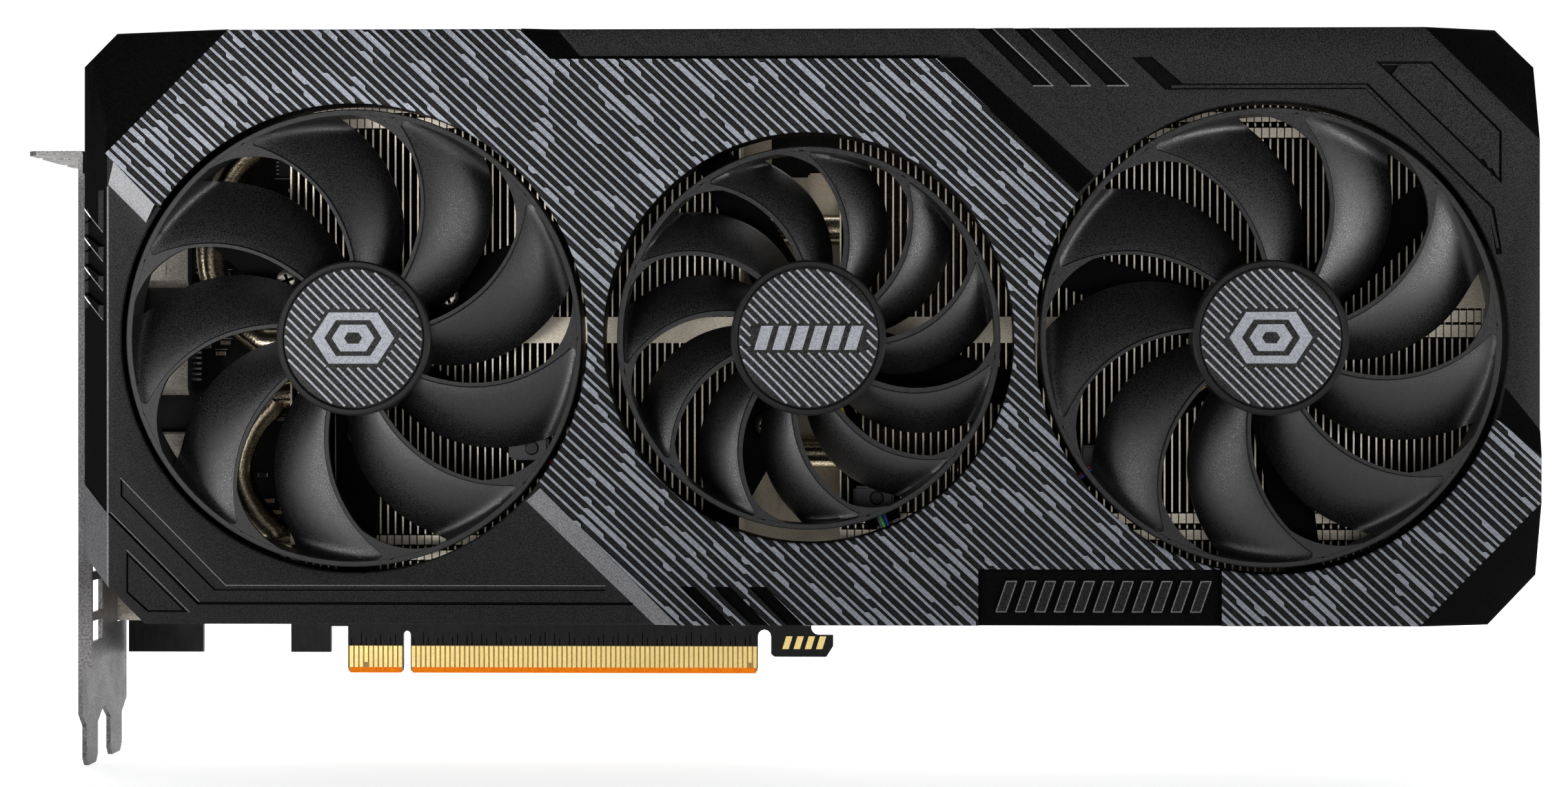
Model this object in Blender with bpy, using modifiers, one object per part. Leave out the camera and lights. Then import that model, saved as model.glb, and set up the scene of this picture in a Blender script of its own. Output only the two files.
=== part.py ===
"""Triple-fan graphics card, modelled as separate pieces for Blender 4.5.

Frame: +X runs along the card from the bracket to the free end, +Z runs from the edge connector up to
the top edge, and the fans face -Y. The origin is the middle of the long edge-connector section's bottom
face. Dimensions below are in millimetres and the mesh builders turn them into metres.
"""

import math

import bmesh
import bpy
from mathutils import Matrix, Vector

MM = 0.001
GAP = 0.3  # clearance between neighbouring pieces

# Circuit board
PCB_HALF = 0.785
PCB_RIGHT = 150.0
PCB_TOP = 118.0
PCB_BOTTOM = 10.5
EDGE_HALF = 35.6  # half of the long edge-connector section
KEY_NOTCH = 1.5
SHORT_EDGE = 11.4
TAB_BOTTOM = 4.2
NOTCH_TOP = 8.6

# Expansion bracket
BRACKET_X = -95.4
BRACKET_T = 0.9
BRACKET_NEAR = -38.0
BRACKET_FAR = 0.8
BRACKET_TOP = 104.4
BRACKET_BOTTOM = -15.6
BRACKET_TAB = 9.8
SHOULDER_Z = -5.2
TONGUE_Z = -7.8
TONGUES = ((-34.6, -25.0), (-13.9, -3.6))
WINDOW_Y = (-30.7, -21.0)
WINDOW_LOW = (8.3, 12.4)
WINDOW_FIRST = 14.1
WINDOW_H = 6.3
WINDOW_PITCH = 8.0
WINDOW_COUNT = 10

# Display sockets, listed from the bottom
SOCKET_Z = (19.0, 41.4, 64.9, 86.8)
SOCKET_NAMES = ("hdmi_socket", "display_socket_1", "display_socket_2", "display_socket_3")
SOCKET_HALF_Z = 8.0
SOCKET_Y = (-7.3, -1.1)
SOCKET_X = (-95.2, -80.2)

# Shroud
FRONT = -46.5
SHROUD_LEFT = -94.0
SHROUD_RIGHT = 186.1
SHROUD_TOP = 127.1
SHROUD_BOTTOM = 12.9
SHROUD_BACK = -22.0
PLATE_T = 3.8
WALL_T = 2.0
RELIEF = 1.8
LEFT_BAND_X = -86.4
LIP_BACK = -38.5  # behind this, the left wall steps in to clear the bracket's flange
LIP_W = 2.0

# Cooler stack, distances from the board's mid-plane
CHIP_Y = (-2.2, -1.1)
DIE_Y = (-3.0, -2.5)
BASE_Y = (-6.0, -3.3)
PIPE_Y = -9.3
PIPE_R = 3.0
PIPE_STEP = 10.0  # distance between the rings of points along a pipe
FIN_BACK = -12.6
FIN_FRONT = -30.4
FIN_BASE = 1.0
FIN_PITCH = 1.47
FIN_T = 0.4
FIN_Z = (21.0, 118.0)
LEFT_STACK_X = -55.3
LEFT_STACK_FINS = 61
RIGHT_STACK_X = 52.6
RIGHT_STACK_FINS = 86
BAR_X = (-45.0, 110.0)
BAR_Z = (67.1, 72.2)
BAR_Y = (-31.1, -30.7)
BACKPLATE_Y = (3.5, 5.0)
BACKPLATE_BOSS_R = 2.6
BACKPLATE_BOSSES = ((-84.0, 24.0), (-84.0, 108.0), (-14.0, 44.0), (-14.0, 92.0), (42.0, 44.0), (42.0, 92.0),
                    (142.0, 24.0), (142.0, 108.0))
WINDOW_X = (156.0, 178.0)
WINDOW_Z = (32.0, 106.0)

# Fans: name, centre x, opening radius, ring radius, blades, first blade angle, arm angles, wire arm angle
FAN_Z = 67.85
FANS = (
    ("left", -40.5, 45.0, 43.9, 9, 1.5, (26.0, 142.0, 268.0), 327.0),
    ("middle", 46.8, 39.3, 36.7, 11, 94.6, (118.0, 243.0, 346.0), 292.0),
    ("right", 134.9, 45.1, 43.9, 9, 5.0, (40.0, 160.0, 280.0), 216.0),
)
POST_GAP = 2.8  # from the opening's edge to a mounting post's centre
POST_R = 2.2
HUB_R = 14.85
HUB_WALL = 1.5
HUB_FRONT = -46.0
HUB_BACK = -36.5
CAP_R = 13.4
CAP_T = 0.6
RING_T = 1.1
RING_Y = (-45.3, -36.0)
BLADE_T = 1.1
BLADE_FALL = 8.0  # how far a blade drops from its front edge to its back edge
SHAFT_R = 1.5
BEARING_R = 3.6
STATOR_R = 12.6
SPIDER_Y = (-33.2, -31.4)
SPIDER_HUB_R = 14.0
SCREW_CIRCLE = 18.6
SCREW_HEAD_R = 2.2
SCREW_SHANK_R = 1.2

# Fan leads: the points of each route after the motor, as x, y, z, down to its plug on the board
LEAD_R = 1.1
LEAD_STEP = 6.0
LEADS = {
    "left": ((-28.5, -34.7, 60.1), (-14.5, -34.7, 51.0), (-3.0, -34.7, 43.4), (3.0, -35.0, 37.5),
             (7.5, -35.6, 30.0), (9.6, -35.0, 22.6), (10.0, -30.0, 17.9), (10.0, -20.0, 17.6),
             (10.0, -10.2, 17.6)),
    "middle": ((52.0, -34.7, 54.9), (56.9, -34.7, 42.9), (61.3, -34.7, 32.0), (63.4, -35.0, 26.6),
               (64.4, -34.8, 21.4), (64.5, -31.0, 17.9), (64.5, -20.0, 17.6), (64.5, -10.2, 17.6)),
    "right": ((123.5, -34.7, 59.6), (110.0, -34.7, 49.8), (99.8, -34.7, 42.2), (94.4, -35.0, 36.0),
              (91.0, -35.6, 28.6), (90.1, -35.0, 22.2), (90.0, -30.0, 17.9), (90.0, -20.0, 17.6),
              (90.0, -10.2, 17.6)),
}
PLUG_HALF = (3.6, 2.3)

# Heat pipes: route corners in x, z, all in one plane behind the fins
PIPES = (
    ((31.0, 67.3), (-52.0, 67.3), (-67.0, 69.4), (-74.2, 80.0), (-74.2, 94.0), (-67.0, 106.0), (-52.0, 108.2),
     (30.0, 108.2)),
    ((31.0, 57.6), (-52.0, 57.6), (-63.0, 54.6), (-68.6, 46.0), (-68.6, 38.0), (-62.5, 29.5), (-52.0, 27.4),
     (25.0, 27.4)),
    ((-20.0, 90.0), (20.0, 90.0), (60.0, 90.0), (110.0, 88.0), (172.0, 88.0)),
    ((-20.0, 45.0), (20.0, 45.0), (60.0, 45.0), (110.0, 42.0), (172.0, 42.0)),
)

GPU_CENTRE = (14.0, 68.0)
MEMORY = ((-18.0, 88.0), (-18.0, 68.0), (-18.0, 48.0), (46.0, 68.0))


def clear_scene():
    for obj in list(bpy.data.objects):
        bpy.data.objects.remove(obj, do_unlink=True)


def new_collection(name):
    found = bpy.data.collections.new(name)
    bpy.context.scene.collection.children.link(found)
    return found


def new_material(name, colour, roughness, metallic=0.0):
    material = bpy.data.materials.new(name)
    material.use_nodes = True
    shader = material.node_tree.nodes["Principled BSDF"]
    shader.inputs["Base Color"].default_value = (*colour, 1.0)
    shader.inputs["Roughness"].default_value = roughness
    shader.inputs["Metallic"].default_value = metallic
    return material


clear_scene()
CARD = new_collection("graphics_card")
CUTTERS = new_collection("cutters")
MATERIALS = {
    "shroud": new_material("shroud", (0.022, 0.022, 0.023), 0.55),
    "fan": new_material("fan", (0.012, 0.012, 0.013), 0.42),
    "cap": new_material("cap", (0.10, 0.10, 0.105), 0.45),
    "fins": new_material("fins", (0.60, 0.54, 0.45), 0.32, 1.0),
    "pipe": new_material("pipe", (0.63, 0.50, 0.33), 0.25, 1.0),
    "steel": new_material("steel", (0.30, 0.29, 0.28), 0.35, 1.0),
    "board": new_material("board", (0.012, 0.012, 0.013), 0.40),
    "chip": new_material("chip", (0.02, 0.02, 0.02), 0.50),
    "silicon": new_material("silicon", (0.25, 0.26, 0.30), 0.15, 0.8),
    "socket": new_material("socket", (0.55, 0.54, 0.50), 0.30, 1.0),
    "plastic": new_material("plastic", (0.02, 0.02, 0.02), 0.50),
    "copper": new_material("copper", (0.60, 0.30, 0.16), 0.30, 1.0),
    "lead": new_material("lead", (0.03, 0.03, 0.03), 0.50),
    "backplate": new_material("backplate", (0.03, 0.03, 0.032), 0.45, 0.6),
}


def add_object(name, mesh, slot, parent=None):
    """Put a mesh in the card's collection, with its material and, for fan pieces, its axis as parent."""
    obj = bpy.data.objects.new(name, mesh)
    CARD.objects.link(obj)
    mesh.materials.append(MATERIALS[slot])
    obj.parent = parent
    return obj


def add_helper(name, mesh):
    obj = bpy.data.objects.new(name, mesh)
    CUTTERS.objects.link(obj)
    obj.hide_render = True
    obj.display_type = "WIRE"
    return obj


def finish_mesh(name, bm):
    bmesh.ops.recalc_face_normals(bm, faces=bm.faces)
    mesh = bpy.data.meshes.new(name)
    bm.to_mesh(mesh)
    bm.free()
    return mesh


def place(axis, first, second, along):
    """A point from its two outline coordinates and its place along the extrusion axis, in metres."""
    spots = {"X": (along, first, second), "Y": (first, along, second), "Z": (first, second, along)}
    return Vector(spots[axis]) * MM


def add_prism(bm, axis, outline, low, high):
    """Extrude a closed outline along an axis, from low to high."""
    verts = [bm.verts.new(place(axis, first, second, low)) for first, second in outline]
    face = bm.faces.new(verts)
    made = bmesh.ops.extrude_face_region(bm, geom=[face])["geom"]
    moved = [item for item in made if isinstance(item, bmesh.types.BMVert)]
    bmesh.ops.translate(bm, verts=moved, vec=place(axis, 0.0, 0.0, high - low))


def add_box(bm, x_range, y_range, z_range):
    centre = Vector([sum(span) / 2 for span in (x_range, y_range, z_range)]) * MM
    size = [(span[1] - span[0]) * MM for span in (x_range, y_range, z_range)]
    matrix = Matrix.Translation(centre) @ Matrix.Diagonal((*size, 1.0))
    bmesh.ops.create_cube(bm, size=1.0, matrix=matrix)


def add_rod(bm, x, z, radius, y_range, segments=16):
    """A cylinder along Y."""
    length = (y_range[1] - y_range[0]) * MM
    centre = Vector((x, sum(y_range) / 2, z)) * MM
    matrix = Matrix.Translation(centre) @ Matrix.Rotation(math.pi / 2, 4, "X")
    bmesh.ops.create_cone(
        bm, cap_ends=True, segments=segments, radius1=radius * MM, radius2=radius * MM, depth=length, matrix=matrix
    )


def box_mesh(name, x_range, y_range, z_range):
    bm = bmesh.new()
    add_box(bm, x_range, y_range, z_range)
    return finish_mesh(name, bm)


def prism_mesh(name, axis, outline, low, high):
    bm = bmesh.new()
    add_prism(bm, axis, outline, low, high)
    return finish_mesh(name, bm)


def join_shape(obj, tool, operation):
    modifier = obj.modifiers.new(tool.name, "BOOLEAN")
    modifier.object = tool
    modifier.operation = operation
    modifier.solver = "EXACT"


def arc(centre, radius, start, end, steps):
    """Points on a circle from one angle to another, in degrees, both ends included."""
    angles = [math.radians(start + (end - start) * i / steps) for i in range(steps + 1)]
    return [(centre[0] + radius * math.cos(a), centre[1] + radius * math.sin(a)) for a in angles]


def turned(name, loops, slot, parent, segments):
    """A ring or disc turned about Y from closed loops of (radius, y), listed counter-clockwise."""
    mesh = bpy.data.meshes.new(name)
    points = []
    edges = []
    for loop in loops:
        first = len(points)
        points += [(radius * MM, y * MM, 0.0) for radius, y in loop]
        open_end = loop[0][0] == 0.0 and loop[-1][0] == 0.0
        last = len(loop) - 1 if open_end else len(loop)
        edges += [(first + i, first + (i + 1) % len(loop)) for i in range(last)]
    mesh.from_pydata(points, edges, [])
    obj = add_object(name, mesh, slot, parent)
    screw = obj.modifiers.new("turn", "SCREW")
    screw.axis = "Y"
    screw.steps = segments
    screw.render_steps = segments
    screw.use_merge_vertices = True
    screw.merge_threshold = 0.00001
    screw.use_normal_flip = True
    return obj


def smooth_path(corners, step):
    """Catmull-Rom points through a route's corners, about one step apart."""
    points = [Vector(corner) for corner in corners]
    padded = [points[0] * 2 - points[1], *points, points[-1] * 2 - points[-2]]
    path = []
    for i in range(len(points) - 1):
        a, b, c, d = padded[i : i + 4]
        count = max(1, round((c - b).length / step))
        for k in range(count):
            t = k / count
            path.append(
                0.5 * (2 * b + (c - a) * t + (2 * a - 5 * b + 4 * c - d) * t * t + (3 * b - 3 * c + d - a) * t**3)
            )
    path.append(points[-1])
    return path


def tube(name, corners, radius, slot, step):
    """A round tube along a smooth route."""
    curve = bpy.data.curves.new(name, "CURVE")
    curve.dimensions = "3D"
    curve.bevel_depth = radius * MM
    curve.bevel_resolution = 2
    curve.use_fill_caps = True
    spline = curve.splines.new("POLY")
    path = smooth_path(corners, step)
    spline.points.add(len(path) - 1)
    for point, spot in zip(spline.points, path):
        point.co = (*(spot * MM), 1.0)
    return add_object(name, curve, slot)


# --- Board and what is soldered to it ---------------------------------------------------------------


def pcb_outline():
    """The board seen from the fans, with its bracket tabs, both edge sections and the retention hook."""
    key_right = -EDGE_HALF
    key_left = key_right - KEY_NOTCH
    short_left = key_left - SHORT_EDGE
    points = [(-93.7, PCB_BOTTOM), (-93.7, TAB_BOTTOM), (-78.3, TAB_BOTTOM), (-78.3, PCB_BOTTOM)]
    points += [(-60.2, PCB_BOTTOM), (-60.2, TAB_BOTTOM), (-52.0, TAB_BOTTOM), (-52.0, PCB_BOTTOM - 1.0)]
    points += [(short_left, PCB_BOTTOM - 1.0), (short_left, 1.0), (short_left + 1.0, 0.0)]
    points += [(key_left - 1.0, 0.0)]
    points += [(key_left, 1.0)]
    points += arc((key_left + KEY_NOTCH / 2, NOTCH_TOP - KEY_NOTCH / 2), KEY_NOTCH / 2, 180, 0, 4)
    points += [(key_right, 0.6), (key_right + 0.6, 0.0), (EDGE_HALF - 1.0, 0.0), (EDGE_HALF, 1.0)]
    points += arc((EDGE_HALF + 1.35, NOTCH_TOP - 1.0), 1.35, 180, 0, 6)
    points += [(38.3, 4.0), (39.0, 3.4), (49.6, 3.4), (51.0, 5.6), (51.0, 7.9)]
    points += arc((48.0, 9.4), 1.5, 270, 180, 4)
    points += [(46.5, PCB_BOTTOM), (PCB_RIGHT, PCB_BOTTOM), (PCB_RIGHT, PCB_TOP), (-93.7, PCB_TOP)]
    return points


def build_board():
    mesh = prism_mesh("circuit_board", "Y", pcb_outline(), -PCB_HALF, PCB_HALF)
    add_object("circuit_board", mesh, "board")
    x, z = GPU_CENTRE
    add_object("gpu_package", box_mesh("gpu_package", (x - 19, x + 19), CHIP_Y, (z - 19, z + 19)), "board")
    add_object("gpu_die", box_mesh("gpu_die", (x - 11, x + 11), DIE_Y, (z - 9, z + 9)), "silicon")
    for index, (mx, mz) in enumerate(MEMORY, 1):
        name = f"memory_chip_{index}"
        add_object(name, box_mesh(name, (mx - 6, mx + 6), CHIP_Y, (mz - 7, mz + 7)), "chip")


def build_power_socket():
    """A keyed socket on the board's top edge, open upwards."""
    body = box_mesh("power_socket", (118.0, 137.0), (-11.6, -PCB_HALF - GAP), (104.0, 121.0))
    socket = add_object("power_socket", body, "plastic")
    bm = bmesh.new()
    for column in range(4):
        for row in range(2):
            left = 119.0 + 4.4 * column
            back = -10.9 + 4.8 * row
            add_box(bm, (left, left + 3.6), (back, back + 4.0), (109.0, 122.0))
    join_shape(socket, add_helper("power_socket_wells", finish_mesh("wells", bm)), "DIFFERENCE")


def build_display_socket(name, z, rounded):
    """A shell open towards the outside, with its contact tongue."""
    low, high = SOCKET_Y
    shell = [(low, z - SOCKET_HALF_Z + 1.4), (low, z + SOCKET_HALF_Z - rounded)]
    shell += [(low + rounded, z + SOCKET_HALF_Z), (high, z + SOCKET_HALF_Z)]
    shell += [(high, z - SOCKET_HALF_Z), (low + 1.4, z - SOCKET_HALF_Z)]
    socket = add_object(name, prism_mesh(name, "X", shell, *SOCKET_X), "socket")
    bm = bmesh.new()
    add_box(bm, (SOCKET_X[0] - 1, SOCKET_X[0] + 8), (low + 0.7, low + 2.3), (z - 6.4, z + 6.2))
    add_box(bm, (SOCKET_X[0] - 1, SOCKET_X[0] + 8), (high - 2.4, high - 0.7), (z - 6.4, z + 6.2))
    join_shape(socket, add_helper(name + "_mouth", finish_mesh(name + "_mouth", bm)), "DIFFERENCE")


# --- Bracket and its screws -------------------------------------------------------------------------


def build_bracket():
    near, far = TONGUES
    plate = [(BRACKET_NEAR, BRACKET_TOP), (BRACKET_NEAR, SHOULDER_Z), (near[0], TONGUE_Z)]
    plate += [(near[0], BRACKET_BOTTOM + 1.5), (near[0] + 1.5, BRACKET_BOTTOM)]
    plate += [(near[1] - 1.5, BRACKET_BOTTOM)]
    plate += [(near[1], BRACKET_BOTTOM + 1.5), (near[1], TONGUE_Z), (-20.2, SHOULDER_Z), (-18.6, SHOULDER_Z)]
    plate += [(far[0], TONGUE_Z), (far[0], BRACKET_BOTTOM + 1.5), (far[0] + 1.5, BRACKET_BOTTOM)]
    plate += [(far[1] - 1.5, BRACKET_BOTTOM), (far[1], BRACKET_BOTTOM + 1.5), (far[1], TONGUE_Z)]
    plate += [(BRACKET_FAR, SHOULDER_Z), (BRACKET_FAR, BRACKET_TOP)]
    mesh = prism_mesh("io_bracket", "X", plate, BRACKET_X, BRACKET_X + BRACKET_T)
    bracket = add_object("io_bracket", mesh, "steel")

    bm = bmesh.new()
    outer = BRACKET_X - BRACKET_TAB
    root = BRACKET_X + BRACKET_T / 2
    tab = [(root, BRACKET_NEAR), (outer + 1.5, BRACKET_NEAR), (outer, BRACKET_NEAR + 1.5)]
    for centre in (-28.4, -8.1):
        tab += [(outer, centre - 2.2), (outer + 4.0, centre - 2.2)]
        tab += arc((outer + 4.0, centre), 2.2, -60, 60, 4)
        tab += [(outer + 4.0, centre + 2.2), (outer, centre + 2.2)]
    tab += [(outer, BRACKET_FAR - 1.5), (outer + 1.5, BRACKET_FAR), (root, BRACKET_FAR)]
    add_prism(bm, "Z", tab, BRACKET_TOP - BRACKET_T, BRACKET_TOP)
    join_shape(bracket, add_helper("bracket_tab", finish_mesh("bracket_tab", bm)), "UNION")

    flange = box_mesh("bracket_flange", (root, -92.7), (BRACKET_NEAR, BRACKET_NEAR + BRACKET_T), (4.0, 100.0))
    join_shape(bracket, add_helper("bracket_flange", flange), "UNION")

    bm = bmesh.new()
    across = (BRACKET_X - 2, BRACKET_X + 2)
    add_box(bm, across, WINDOW_Y, WINDOW_LOW)
    for index in range(WINDOW_COUNT):
        low = WINDOW_FIRST + WINDOW_PITCH * index
        add_box(bm, across, WINDOW_Y, (low, low + WINDOW_H))
    for z in SOCKET_Z:
        mouth = (z - SOCKET_HALF_Z - GAP, z + SOCKET_HALF_Z + GAP)
        add_box(bm, across, (SOCKET_Y[0] - GAP, SOCKET_Y[1] + GAP), mouth)
    join_shape(bracket, add_helper("bracket_windows", finish_mesh("bracket_windows", bm)), "DIFFERENCE")


def build_bracket_screw(index, z):
    """A short machine screw through the bracket's flange side, next to the display sockets."""
    name = f"bracket_screw_{index}"
    bm = bmesh.new()
    turn = Matrix.Translation(Vector((BRACKET_X + BRACKET_T + GAP + 1.0, -11.2, z)) * MM)
    turn = turn @ Matrix.Rotation(math.pi / 2, 4, "Y")
    size = 2.0 * MM
    bmesh.ops.create_cone(bm, cap_ends=True, segments=12, radius1=size, radius2=size * 0.9, depth=size, matrix=turn)
    add_object(name, finish_mesh(name, bm), "steel")


# --- Cooler -----------------------------------------------------------------------------------------


def comb_outline(left, count):
    """A row of thin fins on one thin base, seen from above."""
    points = []
    for index in range(count):
        start = left + FIN_PITCH * index
        points += [(start, FIN_BACK - FIN_BASE), (start, FIN_FRONT), (start + FIN_T, FIN_FRONT)]
        points += [(start + FIN_T, FIN_BACK - FIN_BASE)]
    right = left + FIN_PITCH * (count - 1) + FIN_T
    return points[:-1] + [(right, FIN_BACK), (left, FIN_BACK)]


def build_cooler():
    for name, left, count in (
        ("fin_stack_left", LEFT_STACK_X, LEFT_STACK_FINS),
        ("fin_stack_right", RIGHT_STACK_X, RIGHT_STACK_FINS),
    ):
        add_object(name, prism_mesh(name, "Z", comb_outline(left, count)[1:], *FIN_Z), "fins")
    add_object("cooler_base", box_mesh("cooler_base", (-42.0, 125.0), BASE_Y, (24.0, 101.0)), "fins")
    add_object("stack_tie_bar", box_mesh("stack_tie_bar", BAR_X, BAR_Y, BAR_Z), "fins")
    for index, corners in enumerate(PIPES, 1):
        route = [(x, PIPE_Y, z) for x, z in corners]
        tube(f"heat_pipe_{index}", route, PIPE_R, "pipe", PIPE_STEP)


def build_backplate():
    outline = [(-84.0, 126.0), (178.0, 126.0), (184.6, 119.4), (184.6, 22.0), (176.0, 13.4), (-80.0, 13.4)]
    outline += [(-90.5, 24.0), (-90.5, 119.5)]
    plate = add_object("backplate", prism_mesh("backplate", "Y", outline, *BACKPLATE_Y), "backplate")
    window = box_mesh("backplate_window", WINDOW_X, (0.0, 8.0), WINDOW_Z)
    join_shape(plate, add_helper("backplate_window", window), "DIFFERENCE")
    bm = bmesh.new()
    for x, z in BACKPLATE_BOSSES:
        add_rod(bm, x, z, BACKPLATE_BOSS_R, (PCB_HALF + GAP, BACKPLATE_Y[0] + 0.5), 8)
    join_shape(plate, add_helper("backplate_bosses", finish_mesh("backplate_bosses", bm)), "UNION")


# --- Shroud -----------------------------------------------------------------------------------------


def shroud_outline(inset):
    left = SHROUD_LEFT + inset * (WALL_T + LIP_W) / WALL_T
    right = SHROUD_RIGHT - inset
    top = SHROUD_TOP - inset
    bottom = SHROUD_BOTTOM + inset
    cut = 0.4 * inset
    points = [(left + 6.4 - cut, top), (right - 7.4 + cut, top), (right, top - 7.2 + cut)]
    points += [(right, bottom + 9.6 - cut), (right - 9.1 + cut, bottom), (left + 13.0 - cut, bottom)]
    points += [(left, bottom + 13.0 - cut), (left, top - 6.5 + cut)]
    return points


def facets():
    """The sloping planes at three corners and the left side: a front point, outward way and tilt."""
    root_half = math.sqrt(0.5)
    return (
        ((-64.5, 127.0), (-root_half, root_half), 25.0),
        ((164.2, 126.9), (root_half, root_half), 32.0),
        ((163.4, 13.4), (root_half, -root_half), 32.0),
        ((LEFT_BAND_X, 60.0), (-1.0, 0.0), 45.0),
    )


def clipped_block(inset, front):
    """The shroud's outer block, or the smaller one inside it, with its facets cut off."""
    bm = bmesh.new()
    back = SHROUD_BACK if inset == 0.0 else SHROUD_BACK + 5.0
    add_prism(bm, "Y", shroud_outline(inset), front, back)
    bmesh.ops.recalc_face_normals(bm, faces=bm.faces)
    for (x, z), (out_x, out_z), tilt in facets():
        angle = math.radians(tilt)
        normal = Vector((out_x * math.sin(angle), -math.cos(angle), out_z * math.sin(angle)))
        spot = Vector((x, FRONT, z)) * MM - normal * WALL_T * MM * (inset > 0.0)
        geometry = bm.verts[:] + bm.edges[:] + bm.faces[:]
        bmesh.ops.bisect_plane(bm, geom=geometry, plane_co=spot, plane_no=normal, clear_outer=True)
        rim = [edge for edge in bm.edges if edge.is_boundary]
        bmesh.ops.contextual_create(bm, geom=rim)
    return bm


def post_spots():
    """Where each fan's arms are screwed to the shroud."""
    spots = []
    for _, x, opening, _, _, _, arms, _ in FANS:
        for angle in arms:
            reach = opening + POST_GAP
            turn = math.radians(angle)
            spots.append((x + reach * math.cos(turn), FAN_Z + reach * math.sin(turn)))
    return spots


def build_shroud():
    shroud = add_object("shroud", finish_mesh("shroud", clipped_block(0.0, FRONT)), "shroud")
    inside = finish_mesh("shroud_inside", clipped_block(WALL_T, FRONT + PLATE_T))
    join_shape(shroud, add_helper("shroud_inside", inside), "DIFFERENCE")
    beyond = (-110.0, SHROUD_LEFT + LIP_W)
    step = box_mesh("shroud_step", beyond, (LIP_BACK, SHROUD_BACK + 5.0), (-10.0, 140.0))
    join_shape(shroud, add_helper("shroud_step", step), "DIFFERENCE")

    bm = bmesh.new()
    for x, z in post_spots():
        add_rod(bm, x, z, POST_R, (FRONT + PLATE_T - 0.5, SPIDER_Y[0] - GAP), 10)
    join_shape(shroud, add_helper("shroud_posts", finish_mesh("shroud_posts", bm)), "UNION")

    bm = bmesh.new()
    for _, x, opening, _, _, _, _, _ in FANS:
        add_rod(bm, x, FAN_Z, opening, (FRONT - 5.0, FRONT + PLATE_T + 1.0), 48)
    join_shape(shroud, add_helper("shroud_openings", finish_mesh("shroud_openings", bm)), "DIFFERENCE")

    bm = bmesh.new()
    upper = [(-1.5, 130.0), (-1.5, 126.4), (3.0, 121.2), (76.5, 121.2), (101.0, 98.7), (134.9, FAN_Z)]
    upper += [(180.0, 58.0), (190.0, 47.5), (190.0, 130.0)]
    add_prism(bm, "Y", upper, FRONT - 5.0, FRONT + RELIEF)
    lower = [(-96.0, 105.6), (-80.7, 90.1), (-40.5, FAN_Z), (-7.3, 36.7), (19.0, 10.0), (-96.0, 10.0)]
    add_prism(bm, "Y", lower, FRONT - 5.0, FRONT + RELIEF)
    join_shape(shroud, add_helper("shroud_relief", finish_mesh("shroud_relief", bm)), "DIFFERENCE")


# --- Fans -------------------------------------------------------------------------------------------


def blade_angle(radius, hub, rim):
    """How far a blade's front edge has swept round, in degrees, at a radius."""
    t = (radius - hub) / (rim - hub)
    return 17.0 * t + 12.0 * t * t - 29.0


def blade_chord(radius, hub, rim, share):
    """The angle that a blade covers, wider at the hub than at the rim."""
    t = (radius - hub) / (rim - hub)
    return (32.0 - 7.0 * t) * share


def add_blade(bm, turn, ring, share, rows, columns):
    """A swept, curved sheet of even thickness from inside the hub's wall to inside the ring."""
    hub = HUB_R - 0.8
    rim = ring - RING_T * 0.4
    front = []
    back = []
    for row in range(rows + 1):
        radius = hub + (rim - hub) * row / rows
        for column in range(columns + 1):
            t = column / columns
            sweep = blade_angle(radius, hub, rim) + turn - blade_chord(radius, hub, rim, share) * t
            angle = math.radians(sweep)
            depth = RING_Y[0] + GAP + (BLADE_FALL - GAP) * t**1.7
            spot = Vector((radius * math.cos(angle), depth, radius * math.sin(angle)))
            front.append(bm.verts.new(spot * MM))
            back.append(bm.verts.new((spot + Vector((0.0, BLADE_T, 0.0))) * MM))
    across = columns + 1
    for row in range(rows):
        for column in range(columns):
            first = row * across + column
            corners = (first, first + 1, first + across + 1, first + across)
            bm.faces.new([front[i] for i in corners])
            bm.faces.new([back[i] for i in reversed(corners)])
    border = [row * across for row in range(rows)]
    border += [rows * across + column for column in range(columns)]
    border += [row * across + columns for row in range(rows, 0, -1)]
    border += list(range(columns, 0, -1))
    for here, there in zip(border, border[1:] + border[:1]):
        bm.faces.new((front[here], front[there], back[there], back[here]))


def build_rotor(name, axis, ring, blades, first):
    inner = HUB_R - HUB_WALL
    floor = HUB_FRONT + CAP_T + GAP
    hub = [(0.0, floor), (CAP_R + GAP, floor), (CAP_R + GAP, HUB_FRONT), (HUB_R, HUB_FRONT), (HUB_R, HUB_BACK)]
    hub += [(inner, HUB_BACK), (inner, floor + 1.2), (3.4, floor + 1.2), (3.4, floor + 3.6)]
    hub += [(SHAFT_R + GAP, floor + 3.6), (SHAFT_R + GAP, floor + 1.2), (0.0, floor + 1.2)]
    rim = [(ring, RING_Y[0]), (ring, RING_Y[1]), (ring - RING_T, RING_Y[1]), (ring - RING_T, RING_Y[0])]
    rotor = turned(name + "_rotor", (hub, rim), "fan", axis, 36)
    bm = bmesh.new()
    for index in range(blades):
        add_blade(bm, first + 360.0 * index / blades, ring, 9.0 / blades, 3, 4)
    helper = add_helper(name + "_blades", finish_mesh(name + "_blades", bm))
    helper.parent = axis
    join_shape(rotor, helper, "UNION")
    return floor


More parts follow.
